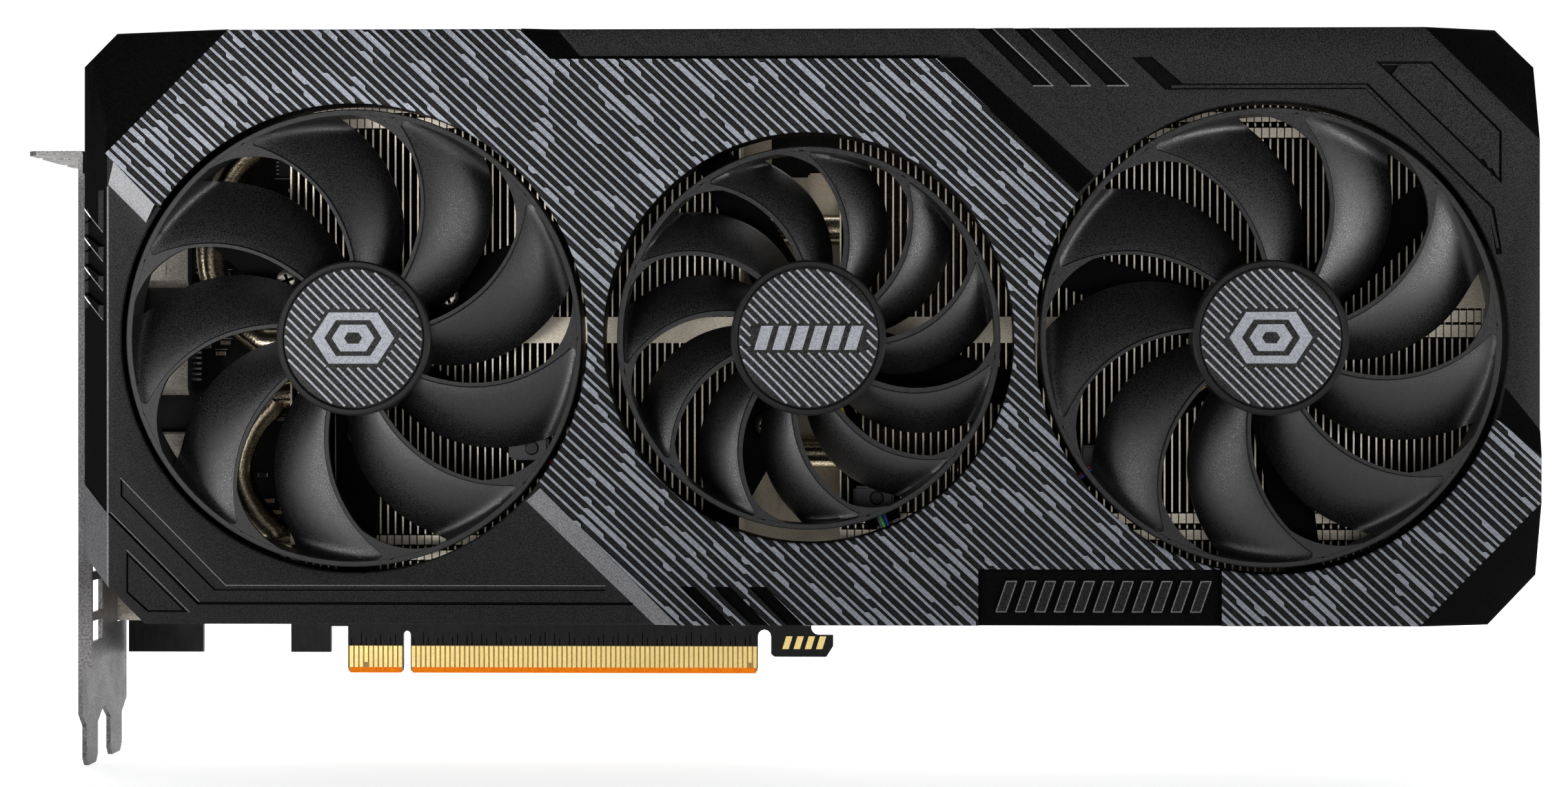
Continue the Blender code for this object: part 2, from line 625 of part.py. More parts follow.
def build_motor(name, axis, floor):
    """Printed cap, shaft, sleeve bearing and a four-pole stator."""
    cap = [(0.0, HUB_FRONT), (CAP_R, HUB_FRONT), (CAP_R, HUB_FRONT + CAP_T), (0.0, HUB_FRONT + CAP_T)]
    turned(name + "_hub_cap", (cap,), "cap", axis, 32)
    top = floor + 1.2 + GAP
    shaft = [(0.0, top), (SHAFT_R, top), (SHAFT_R, SPIDER_Y[0] - 0.6), (0.0, SPIDER_Y[0] - 0.6)]
    turned(name + "_shaft", (shaft,), "steel", axis, 16)
    start = floor + 3.6 + GAP
    sleeve = [(BEARING_R, start), (BEARING_R, SPIDER_Y[0] - GAP), (SHAFT_R + GAP, SPIDER_Y[0] - GAP)]
    sleeve += [(SHAFT_R + GAP, start)]
    turned(name + "_bearing", (sleeve,), "copper", axis, 20)

    outline = []
    for pole in range(4):
        middle = 90.0 * pole
        outline += arc((0.0, 0.0), STATOR_R, middle - 36, middle + 36, 6)
        outline += arc((0.0, 0.0), 10.2, middle + 34, middle + 22, 1)
        outline += arc((0.0, 0.0), 6.4, middle + 30, middle + 60, 1)
        outline += arc((0.0, 0.0), 10.2, middle + 68, middle + 56, 1)
    bm = bmesh.new()
    add_prism(bm, "Y", outline, -42.2, SPIDER_Y[0] - 1.2)
    stator = add_object(name + "_stator", finish_mesh(name + "_stator", bm), "copper", axis)
    bm = bmesh.new()
    add_rod(bm, 0.0, 0.0, BEARING_R + GAP, (-45.0, -30.0), 20)
    bore = add_helper(name + "_stator_bore", finish_mesh(name + "_stator_bore", bm))
    bore.parent = axis
    join_shape(stator, bore, "DIFFERENCE")


def add_arm(bm, angle, start, end, half_start, half_end, y_range):
    """A flat tapered arm that runs outwards from the fan's axis."""
    way = Vector((math.cos(math.radians(angle)), math.sin(math.radians(angle))))
    side = Vector((-way.y, way.x))
    corners = [way * start - side * half_start, way * end - side * half_end]
    corners += [way * end + side * half_end, way * start + side * half_start]
    add_prism(bm, "Y", [(corner.x, corner.y) for corner in corners], *y_range)


def build_spider(name, axis, opening, arms, wire_arm):
    """The fixed frame behind a rotor: a disc, screw lobes, three arms and the arm that carries the lead."""
    low, high = SPIDER_Y
    tip = opening + POST_GAP
    bm = bmesh.new()
    add_rod(bm, 0.0, 0.0, SPIDER_HUB_R, (low, high), 32)
    spider = add_object(name + "_fan_frame", finish_mesh(name + "_fan_frame", bm), "fan", axis)
    holes = bmesh.new()
    for index, angle in enumerate(arms):
        bm = bmesh.new()
        add_arm(bm, angle, 8.0, tip + 2.6, 5.2, 3.2, (low, high))
        arm = add_helper(f"{name}_arm_{index}", finish_mesh(f"{name}_arm_{index}", bm))
        arm.parent = axis
        join_shape(spider, arm, "UNION")
        x = SCREW_CIRCLE * math.cos(math.radians(angle))
        z = SCREW_CIRCLE * math.sin(math.radians(angle))
        add_rod(holes, x, z, SCREW_SHANK_R + GAP, (low - 1, high + 1), 12)
        build_fan_screw(f"{name}_fan_screw_{index + 1}", axis, x, z)
    bm = bmesh.new()
    add_arm(bm, wire_arm, 8.0, opening - 0.5, 2.8, 3.4, (low, high))
    arm = add_helper(name + "_wire_arm", finish_mesh(name + "_wire_arm", bm))
    arm.parent = axis
    join_shape(spider, arm, "UNION")
    bores = add_helper(name + "_frame_holes", finish_mesh(name + "_frame_holes", holes))
    bores.parent = axis
    join_shape(spider, bores, "DIFFERENCE")


def build_fan_screw(name, axis, x, z):
    low = SPIDER_Y[0] - GAP
    profile = [(0.0, low - 1.1), (SCREW_HEAD_R, low - 1.1), (SCREW_HEAD_R, low), (SCREW_SHANK_R, low)]
    profile += [(SCREW_SHANK_R, SPIDER_Y[1] - 0.2), (0.0, SPIDER_Y[1] - 0.2)]
    screw = turned(name, (profile,), "steel", axis, 12)
    screw.location = (x * MM, 0.0, z * MM)


def build_lead(name):
    """The motor's lead along its arm and round the fins' lower edge, and its plug on the board."""
    route = LEADS[name]
    tube(name + "_fan_lead", route, LEAD_R, "lead", LEAD_STEP)
    x, y, z = route[-1]
    half_x, half_z = PLUG_HALF
    depth = (y + GAP, -PCB_HALF - GAP)
    plug = box_mesh(name + "_fan_plug", (x - half_x, x + half_x), depth, (z - half_z, z + half_z))
    add_object(name + "_fan_plug", plug, "plastic")


def build_fan(name, x, opening, ring, blades, first, arms, wire_arm):
    axis = bpy.data.objects.new(name + "_fan_axis", None)
    CARD.objects.link(axis)
    axis.location = (x * MM, 0.0, FAN_Z * MM)
    floor = build_rotor(name, axis, ring, blades, first)
    build_motor(name, axis, floor)
    build_spider(name, axis, opening, arms, wire_arm)
    build_lead(name)


def shade_round_pieces():
    """Smooth shading with sharp edges kept, on every mesh piece."""
    for obj in CARD.objects:
        if obj.type == "MESH":
            obj.data.shade_smooth()
            obj.data.set_sharp_from_angle(angle=math.radians(35))


build_board()
build_power_socket()
for socket_name, socket_z in zip(SOCKET_NAMES, SOCKET_Z):
    build_display_socket(socket_name, socket_z, 1.4 if socket_name.startswith("hdmi") else 0.4)
build_bracket()
build_bracket_screw(1, 30.2)
build_bracket_screw(2, 75.8)
build_cooler()
build_backplate()
build_shroud()
for fan in FANS:
    build_fan(*fan)
shade_round_pieces()
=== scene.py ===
"""Looks for the triple-fan graphics card: fine meshes, node materials, studio floor, lights and camera.

Sizes are in millimetres in the CAD frame: +X along the card, +Z up, fans facing -Y.
"""

import math
import random

import bmesh
import bpy
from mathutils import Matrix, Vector
from mathutils.geometry import delaunay_2d_cdt


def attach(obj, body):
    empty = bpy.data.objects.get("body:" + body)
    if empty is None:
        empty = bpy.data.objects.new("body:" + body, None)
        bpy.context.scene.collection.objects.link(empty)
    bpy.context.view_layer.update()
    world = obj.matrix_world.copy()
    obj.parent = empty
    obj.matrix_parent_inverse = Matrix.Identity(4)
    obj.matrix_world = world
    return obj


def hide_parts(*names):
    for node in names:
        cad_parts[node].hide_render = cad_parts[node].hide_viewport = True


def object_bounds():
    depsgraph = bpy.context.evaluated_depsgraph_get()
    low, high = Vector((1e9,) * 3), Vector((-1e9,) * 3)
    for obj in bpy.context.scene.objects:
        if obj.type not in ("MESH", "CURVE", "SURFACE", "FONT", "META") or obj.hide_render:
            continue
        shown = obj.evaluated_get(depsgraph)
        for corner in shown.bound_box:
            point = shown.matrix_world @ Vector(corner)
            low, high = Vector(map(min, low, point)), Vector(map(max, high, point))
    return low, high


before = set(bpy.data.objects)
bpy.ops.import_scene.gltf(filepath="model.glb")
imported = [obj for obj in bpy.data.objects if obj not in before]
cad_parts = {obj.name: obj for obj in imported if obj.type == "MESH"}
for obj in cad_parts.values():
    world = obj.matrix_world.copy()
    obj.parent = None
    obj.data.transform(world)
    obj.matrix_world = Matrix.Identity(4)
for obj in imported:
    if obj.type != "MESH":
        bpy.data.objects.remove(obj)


def plain_box():
    low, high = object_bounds()
    return [[float(v) for v in low], [float(v) for v in high]]


CAD_BOX = plain_box()
MM = 0.001
FRONT = -46.5  # y of the shroud's striped face
FAN_Z = 67.85  # height of the three fan axes
BOARD_FRONT = -0.8  # y of the circuit board's front face
# name: centre x, opening radius, ring radius, blades, first blade angle, arm angles, wire arm angle
FANS = {
    "left": (-40.5, 45.0, 43.9, 9, 1.5, (26.0, 142.0, 268.0), 327.0),
    "middle": (46.8, 39.3, 36.7, 11, 94.6, (118.0, 243.0, 346.0), 292.0),
    "right": (134.9, 45.1, 43.9, 9, 5.0, (40.0, 160.0, 280.0), 216.0),
}


# --- Materials --------------------------------------------------------------------------------------


class Nodes:
    """A short way to write a material's nodes."""

    def __init__(self, name):
        self.material = bpy.data.materials.new(name)
        self.material.use_nodes = True
        self.tree = self.material.node_tree
        self.shader = self.tree.nodes["Principled BSDF"]
        self.coords = self.tree.nodes.new("ShaderNodeTexCoord").outputs["Object"]

    def add(self, kind, inputs=(), **settings):
        node = self.tree.nodes.new("ShaderNode" + kind)
        for key, value in settings.items():
            setattr(node, key, value)
        for key, value in dict(inputs).items():
            self.put(node.inputs[key], value)
        return node

    def put(self, socket, value):
        if isinstance(value, bpy.types.NodeSocket):
            self.tree.links.new(value, socket)
        else:
            socket.default_value = value

    def stretched(self, scale, turn=(0.0, 0.0, 0.0)):
        node = self.add("Mapping", {"Vector": self.coords, "Scale": scale, "Rotation": turn})
        return node.outputs["Vector"]

    def noise(self, size_mm, detail=3.0, roughness=0.6, vector=None):
        inputs = {"Scale": 1000.0 / size_mm, "Detail": detail, "Roughness": roughness}
        return self.add("TexNoise", {**inputs, "Vector": vector or self.coords}).outputs["Fac"]

    def ramp(self, fac, stops):
        node = self.add("ValToRGB", {"Fac": fac})
        while len(node.color_ramp.elements) < len(stops):
            node.color_ramp.elements.new(0.5)
        for element, (spot, colour) in zip(node.color_ramp.elements, stops):
            element.position = spot
            element.color = (*colour, 1.0)
        return node.outputs["Color"]

    def span(self, fac, low, high, start=0.3, end=0.7):
        inputs = {"Value": fac, "From Min": start, "From Max": end, "To Min": low, "To Max": high}
        return self.add("MapRange", inputs).outputs["Result"]

    def mix(self, fac, first, second, blend="MIX"):
        node = self.add("MixRGB", {"Fac": fac, "Color1": first, "Color2": second}, blend_type=blend)
        return node.outputs["Color"]

    def bump(self, height, distance_mm, strength=1.0):
        inputs = {"Height": height, "Distance": distance_mm * MM, "Strength": strength}
        self.put(self.shader.inputs["Normal"], self.add("Bump", inputs).outputs["Normal"])

    def surface(self, **values):
        names = {"colour": "Base Color", "rough": "Roughness", "metal": "Metallic"}
        names["specular"] = "Specular IOR Level"
        for key, value in values.items():
            self.put(self.shader.inputs[names[key]], value)
        return self.material


def grey(value):
    return (value, value, value * 1.03)


def moulded(name, dark, light, grain=0.28, depth=0.03, rough=(0.42, 0.6), specular=0.4):
    """Spark-eroded moulded plastic: a fine even grain, with slow changes of shade and gloss."""
    n = Nodes(name)
    fine = n.noise(grain, 2.0, 0.7)
    slow = n.noise(22.0, 3.0)
    colour = n.ramp(fine, ((0.42, dark), (0.58, light)))
    n.bump(fine, depth, 0.9)
    tint = n.ramp(slow, ((0.3, grey(0.86)), (0.7, grey(1.0))))
    colour = n.mix(1.0, colour, tint, "MULTIPLY")
    return n.surface(colour=colour, rough=n.span(fine, *rough), specular=specular)


def sheet_metal(name, dark, light, along=(1.0, 1.0, 60.0), rough=(0.22, 0.42), grain=0.9, depth=0.012):
    """Rolled or plated metal: long faint scratches one way, and cloudy patches of gloss."""
    n = Nodes(name)
    lines = n.noise(grain, 3.0, 0.65, n.stretched(along))
    cloud = n.noise(9.0, 4.0)
    colour = n.ramp(lines, ((0.32, dark), (0.68, light)))
    n.bump(lines, depth, 0.6)
    return n.surface(colour=colour, rough=n.span(cloud, *rough), metal=1.0)


def solder_mask(name):
    """Black solder mask over faint copper tracks."""
    n = Nodes(name)
    tracks = n.noise(1.6, 2.0, 0.4, n.stretched((2.5, 1.0, 0.7), (0.0, math.radians(45), 0.0)))
    colour = n.ramp(tracks, ((0.42, (0.0045, 0.0042, 0.004)), (0.60, (0.0075, 0.0072, 0.007))))
    n.bump(n.noise(0.8), 0.01, 0.4)
    return n.surface(colour=colour, rough=n.span(n.noise(4.0), 0.34, 0.48), specular=0.18)


def plain_plastic(name, colour, other, rough=0.5, specular=0.5):
    """Smooth plastic, ceramic or board edge with two close shades."""
    n = Nodes(name)
    fine = n.noise(0.5)
    n.bump(fine, 0.02, 0.5)
    shade = n.ramp(fine, ((0.35, colour), (0.65, other)))
    gloss = n.span(fine, rough - 0.08, rough + 0.1)
    return n.surface(colour=shade, rough=gloss, specular=specular)


def bracket_metal_with_painted_shade(name):
    """Nickel plate with painted shade: the tall flange is painted darker than its foot and its top tab,
    which keep the full lit tone.
    """
    n = Nodes(name)
    speckle = n.noise(0.4, 3.0, 0.65)
    height = n.add("SeparateXYZ", {"Vector": n.coords}).outputs["Z"]
    # painted shade by height: full tone on the foot, darker up the flange, full tone again on the top tab as
    # a painted highlight
    shade = n.ramp(n.span(height, 0.0, 1.0, 0.0, 0.12), ((0.07, grey(1.0)), (0.17, grey(0.42))))
    shade = n.mix(n.span(height, 0.0, 1.0, 0.098, 0.103), shade, (1.0, 1.0, 1.0, 1.0))
    colour = n.ramp(speckle, ((0.34, (0.070, 0.067, 0.066)), (0.66, (0.215, 0.208, 0.204))))
    n.bump(speckle, 0.03, 0.6)
    colour = n.mix(1.0, colour, shade, "MULTIPLY")
    return n.surface(colour=colour, rough=n.span(n.noise(9.0, 4.0), 0.42, 0.58), metal=1.0)


# look: name, dark shade, light shade, grain size, bump depth, roughness range, specular
MOULDED = {
    "shroud": ("shroud_grain", grey(0.0008), grey(0.0165), 0.22, 0.05, (0.46, 0.62), 0.12),
    # a darker copy of the shroud plastic: painted shade on the facets, bevels and sloping bands that face
    # away from the light
    "facet": ("shroud_facet_painted_shade", grey(0.0007), grey(0.0016), 0.35, 0.02, (0.5, 0.6), 0.02),
    # a lighter copy of the shroud plastic: painted highlight on the bevels that face down and to the left
    "silver": ("lit_bevel", grey(0.075), grey(0.155), 0.28, 0.04, (0.38, 0.55), 0.35),
    "lit": ("lit_facet", grey(0.020), grey(0.085), 0.26, 0.05, (0.42, 0.55), 0.3),
    # painted highlight: a light line standing for the glint on the louvres' edges
    "bright": ("edge_painted_glint", grey(0.42), grey(0.75), 0.30, 0.03, (0.3, 0.45), 0.6),
    "ground": (
        "stripe_ground", (0.0016, 0.0015, 0.0013), (0.0155, 0.0145, 0.0138), 0.24, 0.05,
        (0.5, 0.65), 0.07,
    ),
    "stripe": ("stripe_paint", (0.125, 0.135, 0.150), (0.200, 0.212, 0.234), 0.36, 0.02, (0.38, 0.5), 0.35),
    "outline": ("stripe_outline", grey(0.002), grey(0.005), 0.4, 0.02, (0.5, 0.6), 0.08),
    # painted highlight: mid-grey lines along ridges and engraved edges that catch the light
    "edge": ("edge_painted_highlight", grey(0.06), grey(0.13), 0.3, 0.03, (0.35, 0.5), 0.4),
    # a near-black copy of the shroud plastic: painted shade in grooves and recesses, also used on the
    # shroud's inner faces, the ducts and the fan frames
    "groove": ("shroud_groove", grey(0.0007), grey(0.0020), 0.35, 0.03, (0.5, 0.6), 0.03),
    "fan": ("fan_satin", grey(0.0008), grey(0.0070), 0.17, 0.060, (0.04, 0.68), 0.46),
    # a lighter copy of the fan plastic: painted highlight on the blades' flat front edges, the webs at their
    # tips and the ring
    "fan_edge": ("fan_rim_painted_highlight", grey(0.003), grey(0.0135), 0.19, 0.04, (0.25, 0.65), 0.32),
    "hub_rim": ("hub_rim", grey(0.0030), grey(0.0062), 0.3, 0.02, (0.40, 0.52), 0.2),
    "cap": ("cap_ground", (0.007, 0.0066, 0.0062), (0.025, 0.024, 0.023), 0.36, 0.04, (0.42, 0.55), 0.1),
    "print": ("cap_print", (0.175, 0.182, 0.197), (0.275, 0.284, 0.306), 0.3, 0.02, (0.35, 0.5), 0.35),
}
# look: name, dark shade, light shade, stretch along each axis, roughness range, grain size, bump depth
SHEET_METAL = {
    # a darker copy of the fin metal: painted shade on the fin faces that lie between their neighbours
    "fins": ("fin_sheet_painted_shade", (0.05, 0.042, 0.030), (0.12, 0.10, 0.075), (1.0, 30.0, 1.0), (0.36, 0.5)),
    "fin_edge": (
        "fin_cut_edge", (0.62, 0.54, 0.42), (1.0, 0.93, 0.80), (1.0, 1.0, 3.0),
        (0.36, 0.55), 0.35, 0.03,
    ),
    "plate": (
        "cooler_plate", (0.40, 0.34, 0.26), (0.92, 0.85, 0.72), (1.0, 1.0, 12.0),
        (0.4, 0.6), 0.5, 0.03,
    ),
    "pipe": (
        "heat_pipe_plating", (0.20, 0.15, 0.09), (0.84, 0.74, 0.55), (1.0, 1.0, 1.0),
        (0.14, 0.32), 0.45, 0.06,
    ),
    "screw": ("screw_steel", (0.50, 0.46, 0.40), (0.78, 0.73, 0.64), (1.0, 1.0, 1.0), (0.2, 0.35), 0.5),
    "socket": (
        "socket_shell", (0.28, 0.25, 0.21), (0.74, 0.69, 0.61), (1.0, 1.0, 3.0), (0.3, 0.5),
        0.6, 0.03,
    ),
    "gold": ("contact_gold", (0.86, 0.60, 0.20), (1.0, 0.82, 0.36), (1.0, 1.0, 30.0), (0.2, 0.32)),
    "silicon": ("die_mirror", (0.30, 0.31, 0.35), (0.42, 0.43, 0.48), (1.0, 1.0, 1.0), (0.06, 0.12)),
    "copper": ("wound_copper", (0.62, 0.30, 0.14), (0.85, 0.48, 0.26), (1.0, 60.0, 1.0), (0.25, 0.4)),
    "solder": ("solder_joint", (0.55, 0.55, 0.55), (0.80, 0.80, 0.80), (1.0, 1.0, 1.0), (0.2, 0.35)),
    "backplate": ("backplate_coating", grey(0.020), grey(0.034), (1.0, 1.0, 1.0), (0.42, 0.55), 0.35, 0.04),
}
# look: name, first shade, second shade, roughness, specular
PLAIN = {
    "fibre": ("board_edge_fibre", (0.80, 0.165, 0.0015), (0.97, 0.24, 0.003), 0.5, 0.1),
    "fibre_dim": ("contact_ground", (0.30, 0.17, 0.035), (0.42, 0.25, 0.07), 0.5),
    "chip": ("chip_case", grey(0.010), grey(0.022), 0.45),
    "plastic": ("connector_plastic", grey(0.010), grey(0.020), 0.45),
    "white": ("silk_line", grey(0.55), grey(0.70), 0.55),
    "ceramic": ("capacitor_ceramic", (0.20, 0.13, 0.07), (0.28, 0.19, 0.11), 0.45),
    "wire_yellow": ("wire_yellow", (0.75, 0.50, 0.02), (0.85, 0.60, 0.04), 0.4),
    "wire_red": ("wire_red", (0.55, 0.012, 0.008), (0.68, 0.02, 0.012), 0.4),
    "wire_blue": ("wire_blue", (0.012, 0.06, 0.42), (0.02, 0.09, 0.55), 0.4),
    "wire_green": ("wire_green", (0.02, 0.26, 0.05), (0.03, 0.36, 0.08), 0.4),
    "wire_black": ("wire_black", grey(0.010), grey(0.018), 0.4),
}
MAT = {look: moulded(*values) for look, values in MOULDED.items()}
MAT.update({look: sheet_metal(*values) for look, values in SHEET_METAL.items()})
MAT.update({look: plain_plastic(*values) for look, values in PLAIN.items()})
MAT.update(steel=bracket_metal_with_painted_shade("bracket_nickel_painted_shade"), board=solder_mask("solder_mask"))


# --- Mesh helpers -----------------------------------------------------------------------------------


def place(name, data):
    """A new object of the scene that shows a mesh, curve, light or camera."""
    obj = bpy.data.objects.new(name, data)
    bpy.context.scene.collection.objects.link(obj)
    return obj


class Sheet:
    """Points in millimetres, faces and a material name for each face, turned into one piece at the end."""

    def __init__(self):
        self.points = []
        self.faces = []
        self.looks = []

    def add(self, points, faces, look):
        first = len(self.points)
        self.points += points
        self.faces += [tuple(first + i for i in face) for face in faces]
        self.looks += [look] * len(faces)

    def block(self, x, y, z, look, bevel=0.0):
        """A box with chamfered edges."""
        bm = bmesh.new()
        bmesh.ops.create_cube(bm, size=1.0)
        size = Vector((x[1] - x[0], y[1] - y[0], z[1] - z[0]))
        centre = Vector((x[0] + x[1], y[0] + y[1], z[0] + z[1])) / 2
        bmesh.ops.scale(bm, verts=bm.verts, vec=size)
        if bevel:
            offset = min(bevel, min(size) * 0.45)
            bmesh.ops.bevel(bm, geom=bm.edges, offset=offset, segments=2, affect="EDGES")
        bm.verts.index_update()
        points = [tuple(v.co + centre) for v in bm.verts]
        self.add(points, [tuple(v.index for v in f.verts) for f in bm.faces], look)
        bm.free()

    def lathe(self, profile, x, z, segments, look, closed=True):
        """Turns (radius, y) points about the Y axis through x, z; the profile runs counter-clockwise."""
        count = len(profile)
        points = []
        for k in range(segments):
            a = math.tau * k / segments
            points += [(x + r * math.cos(a), y, z + r * math.sin(a)) for r, y in profile]
        faces = []
        for k in range(segments):
            here = k * count
            there = ((k + 1) % segments) * count
            for i in range(count if closed else count - 1):
                j = (i + 1) % count
                faces.append((here + i, here + j, there + j, there + i))
        self.add(points, faces, look)

    def piece(self, name, body, replaces=(), sharp=32.0):
        """The finished object; edges sharper than this many degrees stay sharp."""
        mesh = bpy.data.meshes.new(name)
        mesh.from_pydata([(x * MM, y * MM, z * MM) for x, y, z in self.points], [], self.faces)
        order = {look: i for i, look in enumerate(dict.fromkeys(self.looks))}
        for look in order:
            mesh.materials.append(MAT[look])
        mesh.polygons.foreach_set("material_index", [order[look] for look in self.looks])
        bm = bmesh.new()
        bm.from_mesh(mesh)
        bmesh.ops.remove_doubles(bm, verts=bm.verts, dist=1e-7)
        bmesh.ops.dissolve_degenerate(bm, dist=1e-8, edges=bm.edges)
        bm.to_mesh(mesh)
        bm.free()
        mesh.shade_smooth()
        mesh.set_sharp_from_angle(angle=math.radians(sharp))
        obj = place(name, mesh)
        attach(obj, body)
        if replaces:
            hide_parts(*replaces)


def signed_area(poly):
    return sum(a[0] * b[1] - b[0] * a[1] for a, b in sides(poly)) / 2


def circle(x, z, radius, count):
    angles = [math.tau * i / count for i in range(count)]
    return [(x + radius * math.cos(a), z + radius * math.sin(a)) for a in angles]


def slanted(x, z, width, lean, height):
    """A bar with level ends that leans to the right by this much over its height."""
    return [(x, z), (x + width, z), (x + width + lean, z + height), (x + lean, z + height)]


def rectangle(left, right, start, end):
    return [(left, start), (right, start), (right, end), (left, end)]


def stroke(points, width):
    """The four-sided outlines of a line drawn with this width, one for each stretch."""
    made = []
    for a, b in zip(points, points[1:]):
        way = (Vector(b) - Vector(a)).normalized() * (width / 2)
        side = Vector((-way.y, way.x))
        a, b = Vector(a) - way * 0.4, Vector(b) + way * 0.4
        made.append([tuple(a - side), tuple(b - side), tuple(b + side), tuple(a + side)])
    return made


def direction(degrees):
    return Vector((math.cos(math.radians(degrees)), math.sin(math.radians(degrees))))


def sides(outline):
    """Each corner of an outline with the next one."""
    return zip(outline, outline[1:] + outline[:1])


def line_distance(a, b):
    """How far a point is to the right of the line from a to b."""
    way = (Vector(b) - Vector(a)).normalized()
    return lambda x, z: (x - a[0]) * way.y - (z - a[1]) * way.x


def rim_distance(outline, x, z):
    """How far a point inside a convex outline, listed clockwise, is from the nearest side."""
    return min(line_distance(a, b)(x, z) for a, b in sides(outline))


class Relief:
    """A face made of flat regions at their own depths, drawn as outlines in x, z, with walls between them.

    Later regions lie over earlier ones. A region is (outline, look, depth, over). Its depth is a number of
    millimetres behind the face, or a function of x, z. If over isn't None, it is the index of the only
    region that this one covers. A look of None is a hole, and guide lines only add edges.
    """

    def __init__(self, face_y, facing=-1.0):
        self.face_y = face_y
        self.facing = facing
        self.regions = []
        self.guides = []
        self.fillet = lambda x, z: 0.0

    def region(self, outline, look, depth, over=None):
        self.regions.append((outline, look, depth, over))
        return len(self.regions) - 1

    def line(self, points, width, look, depth):
        """A line drawn with this width, one region for each stretch."""
        for outline in stroke(points, width):
            self.region(outline, look, depth)

    def surface(self, sheet, back=None):
        points = []
        faces = []
        for outline in [r[0] for r in self.regions] + self.guides:
            if signed_area(outline) < 0:
                outline = outline[::-1]
            faces.append(list(range(len(points), len(points) + len(outline))))
            points += [Vector(p) for p in outline]
        spots, _, triangles, _, _, sources = delaunay_2d_cdt(points, [], faces, 1, 1e-5)
        known = len(self.regions)
        made = {}
        corners = []
        edges = {}

        def corner(index, depth):
            key = (index, round(depth, 3))
            if key not in made:
                made[key] = len(corners)
                x, z = spots[index]
                corners.append((x, self.face_y - self.facing * depth, z))
            return made[key]

        out_faces = []
        looks = []

        def add_wall(look, *wall):
            wall = [c for i, c in enumerate(wall) if c != wall[i - 1]]
            if len(set(wall)) >= 3:
                out_faces.append(tuple(wall))
                looks.append(look)

        for triangle, source in zip(triangles, sources):
            inside = {i for i in source if i < known}
            if 0 not in inside:
                continue
            best = max(i for i in inside if self.regions[i][3] is None)
            best = max([best] + [i for i in inside if self.regions[i][3] == best])
            _, look, depth, _ = self.regions[best]
            if look is None:
                continue
            levels = []
            for index in triangle:
                x, z = spots[index]
                level = depth(x, z) if callable(depth) else depth
                levels.append(level + self.fillet(x, z))
            order = [0, 1, 2] if self.facing < 0 else [2, 1, 0]
            face = tuple(corner(triangle[k], levels[k]) for k in order)
            out_faces.append(face)
            looks.append(look)
            for k in range(3):
                a, b = order[k], order[(k + 1) % 3]
                entry = (triangle[a], triangle[b], face[k], face[(k + 1) % 3], max(levels), look)
                edges.setdefault(frozenset((triangle[a], triangle[b])), []).append(entry)
        for entries in edges.values():
            if len(entries) == 2:
                first, second = entries
                a1, b1 = first[2], first[3]
                b2, a2 = second[2], second[3]
                add_wall(first[5] if first[4] > second[4] else second[5], b1, a1, a2, b2)
            elif back is not None:
                a, b, a1, b1, _, look = entries[0]
                depth, wall_look = back(*((spots[a] + spots[b]) / 2), look)
                a2, b2 = corner(a, depth), corner(b, depth)
                add_wall(wall_look, b1, a1, a2, b2)
        first = len(sheet.points)
        sheet.points += corners
        sheet.faces += [tuple(first + i for i in face) for face in out_faces]
        sheet.looks += looks


STRIPE_PITCH = 1.58
STRIPE_HALF = 0.245  # half a stripe's width where it is thin
STRIPE_STEP = 0.50  # how much further each side reaches where it is wide
STRIPE_SHADE = 0.15  # how far the dark shape round a stripe reaches
STRIPE_WAY = direction(-43.0)
STRIPE_SIDE = Vector((-STRIPE_WAY.y, STRIPE_WAY.x))


def stripe_bumps(rng, start, end, facing):
    """Where one stripe is wider, on each side, clear of the widenings that face it on the stripe before."""
    bumps = {1: [], -1: []}
    spot = start + rng.uniform(0.0, 20.0)
    while spot < end:
        length = rng.choice((1.6, 2.6, 3.6, 5.0, 7.0, 9.5)) * rng.uniform(0.85, 1.2)
        side = rng.choice((1, -1))
        if side == -1 and any(low - 1.6 < spot + length and spot < high + 1.6 for low, high in facing):
            side = 1
        bumps[side].append((spot, spot + length))
        spot += length + rng.uniform(6.0, 32.0)
    return bumps


def stripe_outline(bumps, offset, start, end, grow):
    """One thin stripe with its wider stretches, or the slightly larger shape that shows dark round it."""
    thin = STRIPE_HALF + grow
    wide = STRIPE_HALF + STRIPE_STEP + grow
    early = grow * 0.4

    def side(sign):
        line = [(start, thin)]
        for low, high in bumps[sign]:
            line += [(low - early, thin), (low + STRIPE_STEP - early, wide)]
            line += [(high + early, wide), (high + STRIPE_STEP + early, thin)]
        line.append((end, thin))
        return [tuple(STRIPE_WAY * q + STRIPE_SIDE * (offset + sign * w)) for q, w in line]

    return side(-1) + side(1)[::-1]


def add_stripes(relief, target, span, along, seed, levels):
    """Stripes over the region target, from one offset to another, at the depths of their shade and paint."""
    rng = random.Random(seed)
    offset = span[0]
    made = []
    facing = []
    while offset < span[1]:
        bumps = stripe_bumps(rng, *along, facing)
        facing = bumps[1]
        made.append([stripe_outline(bumps, offset, *along, grow) for grow in (STRIPE_SHADE, 0.0)])
        offset += STRIPE_PITCH
    for outer, _ in made:
        relief.region(outer, "outline", levels[0], target)
    for _, inner in made:
        relief.region(inner, "stripe", levels[1], target)


# --- Shroud -----------------------------------------------------------------------------------------

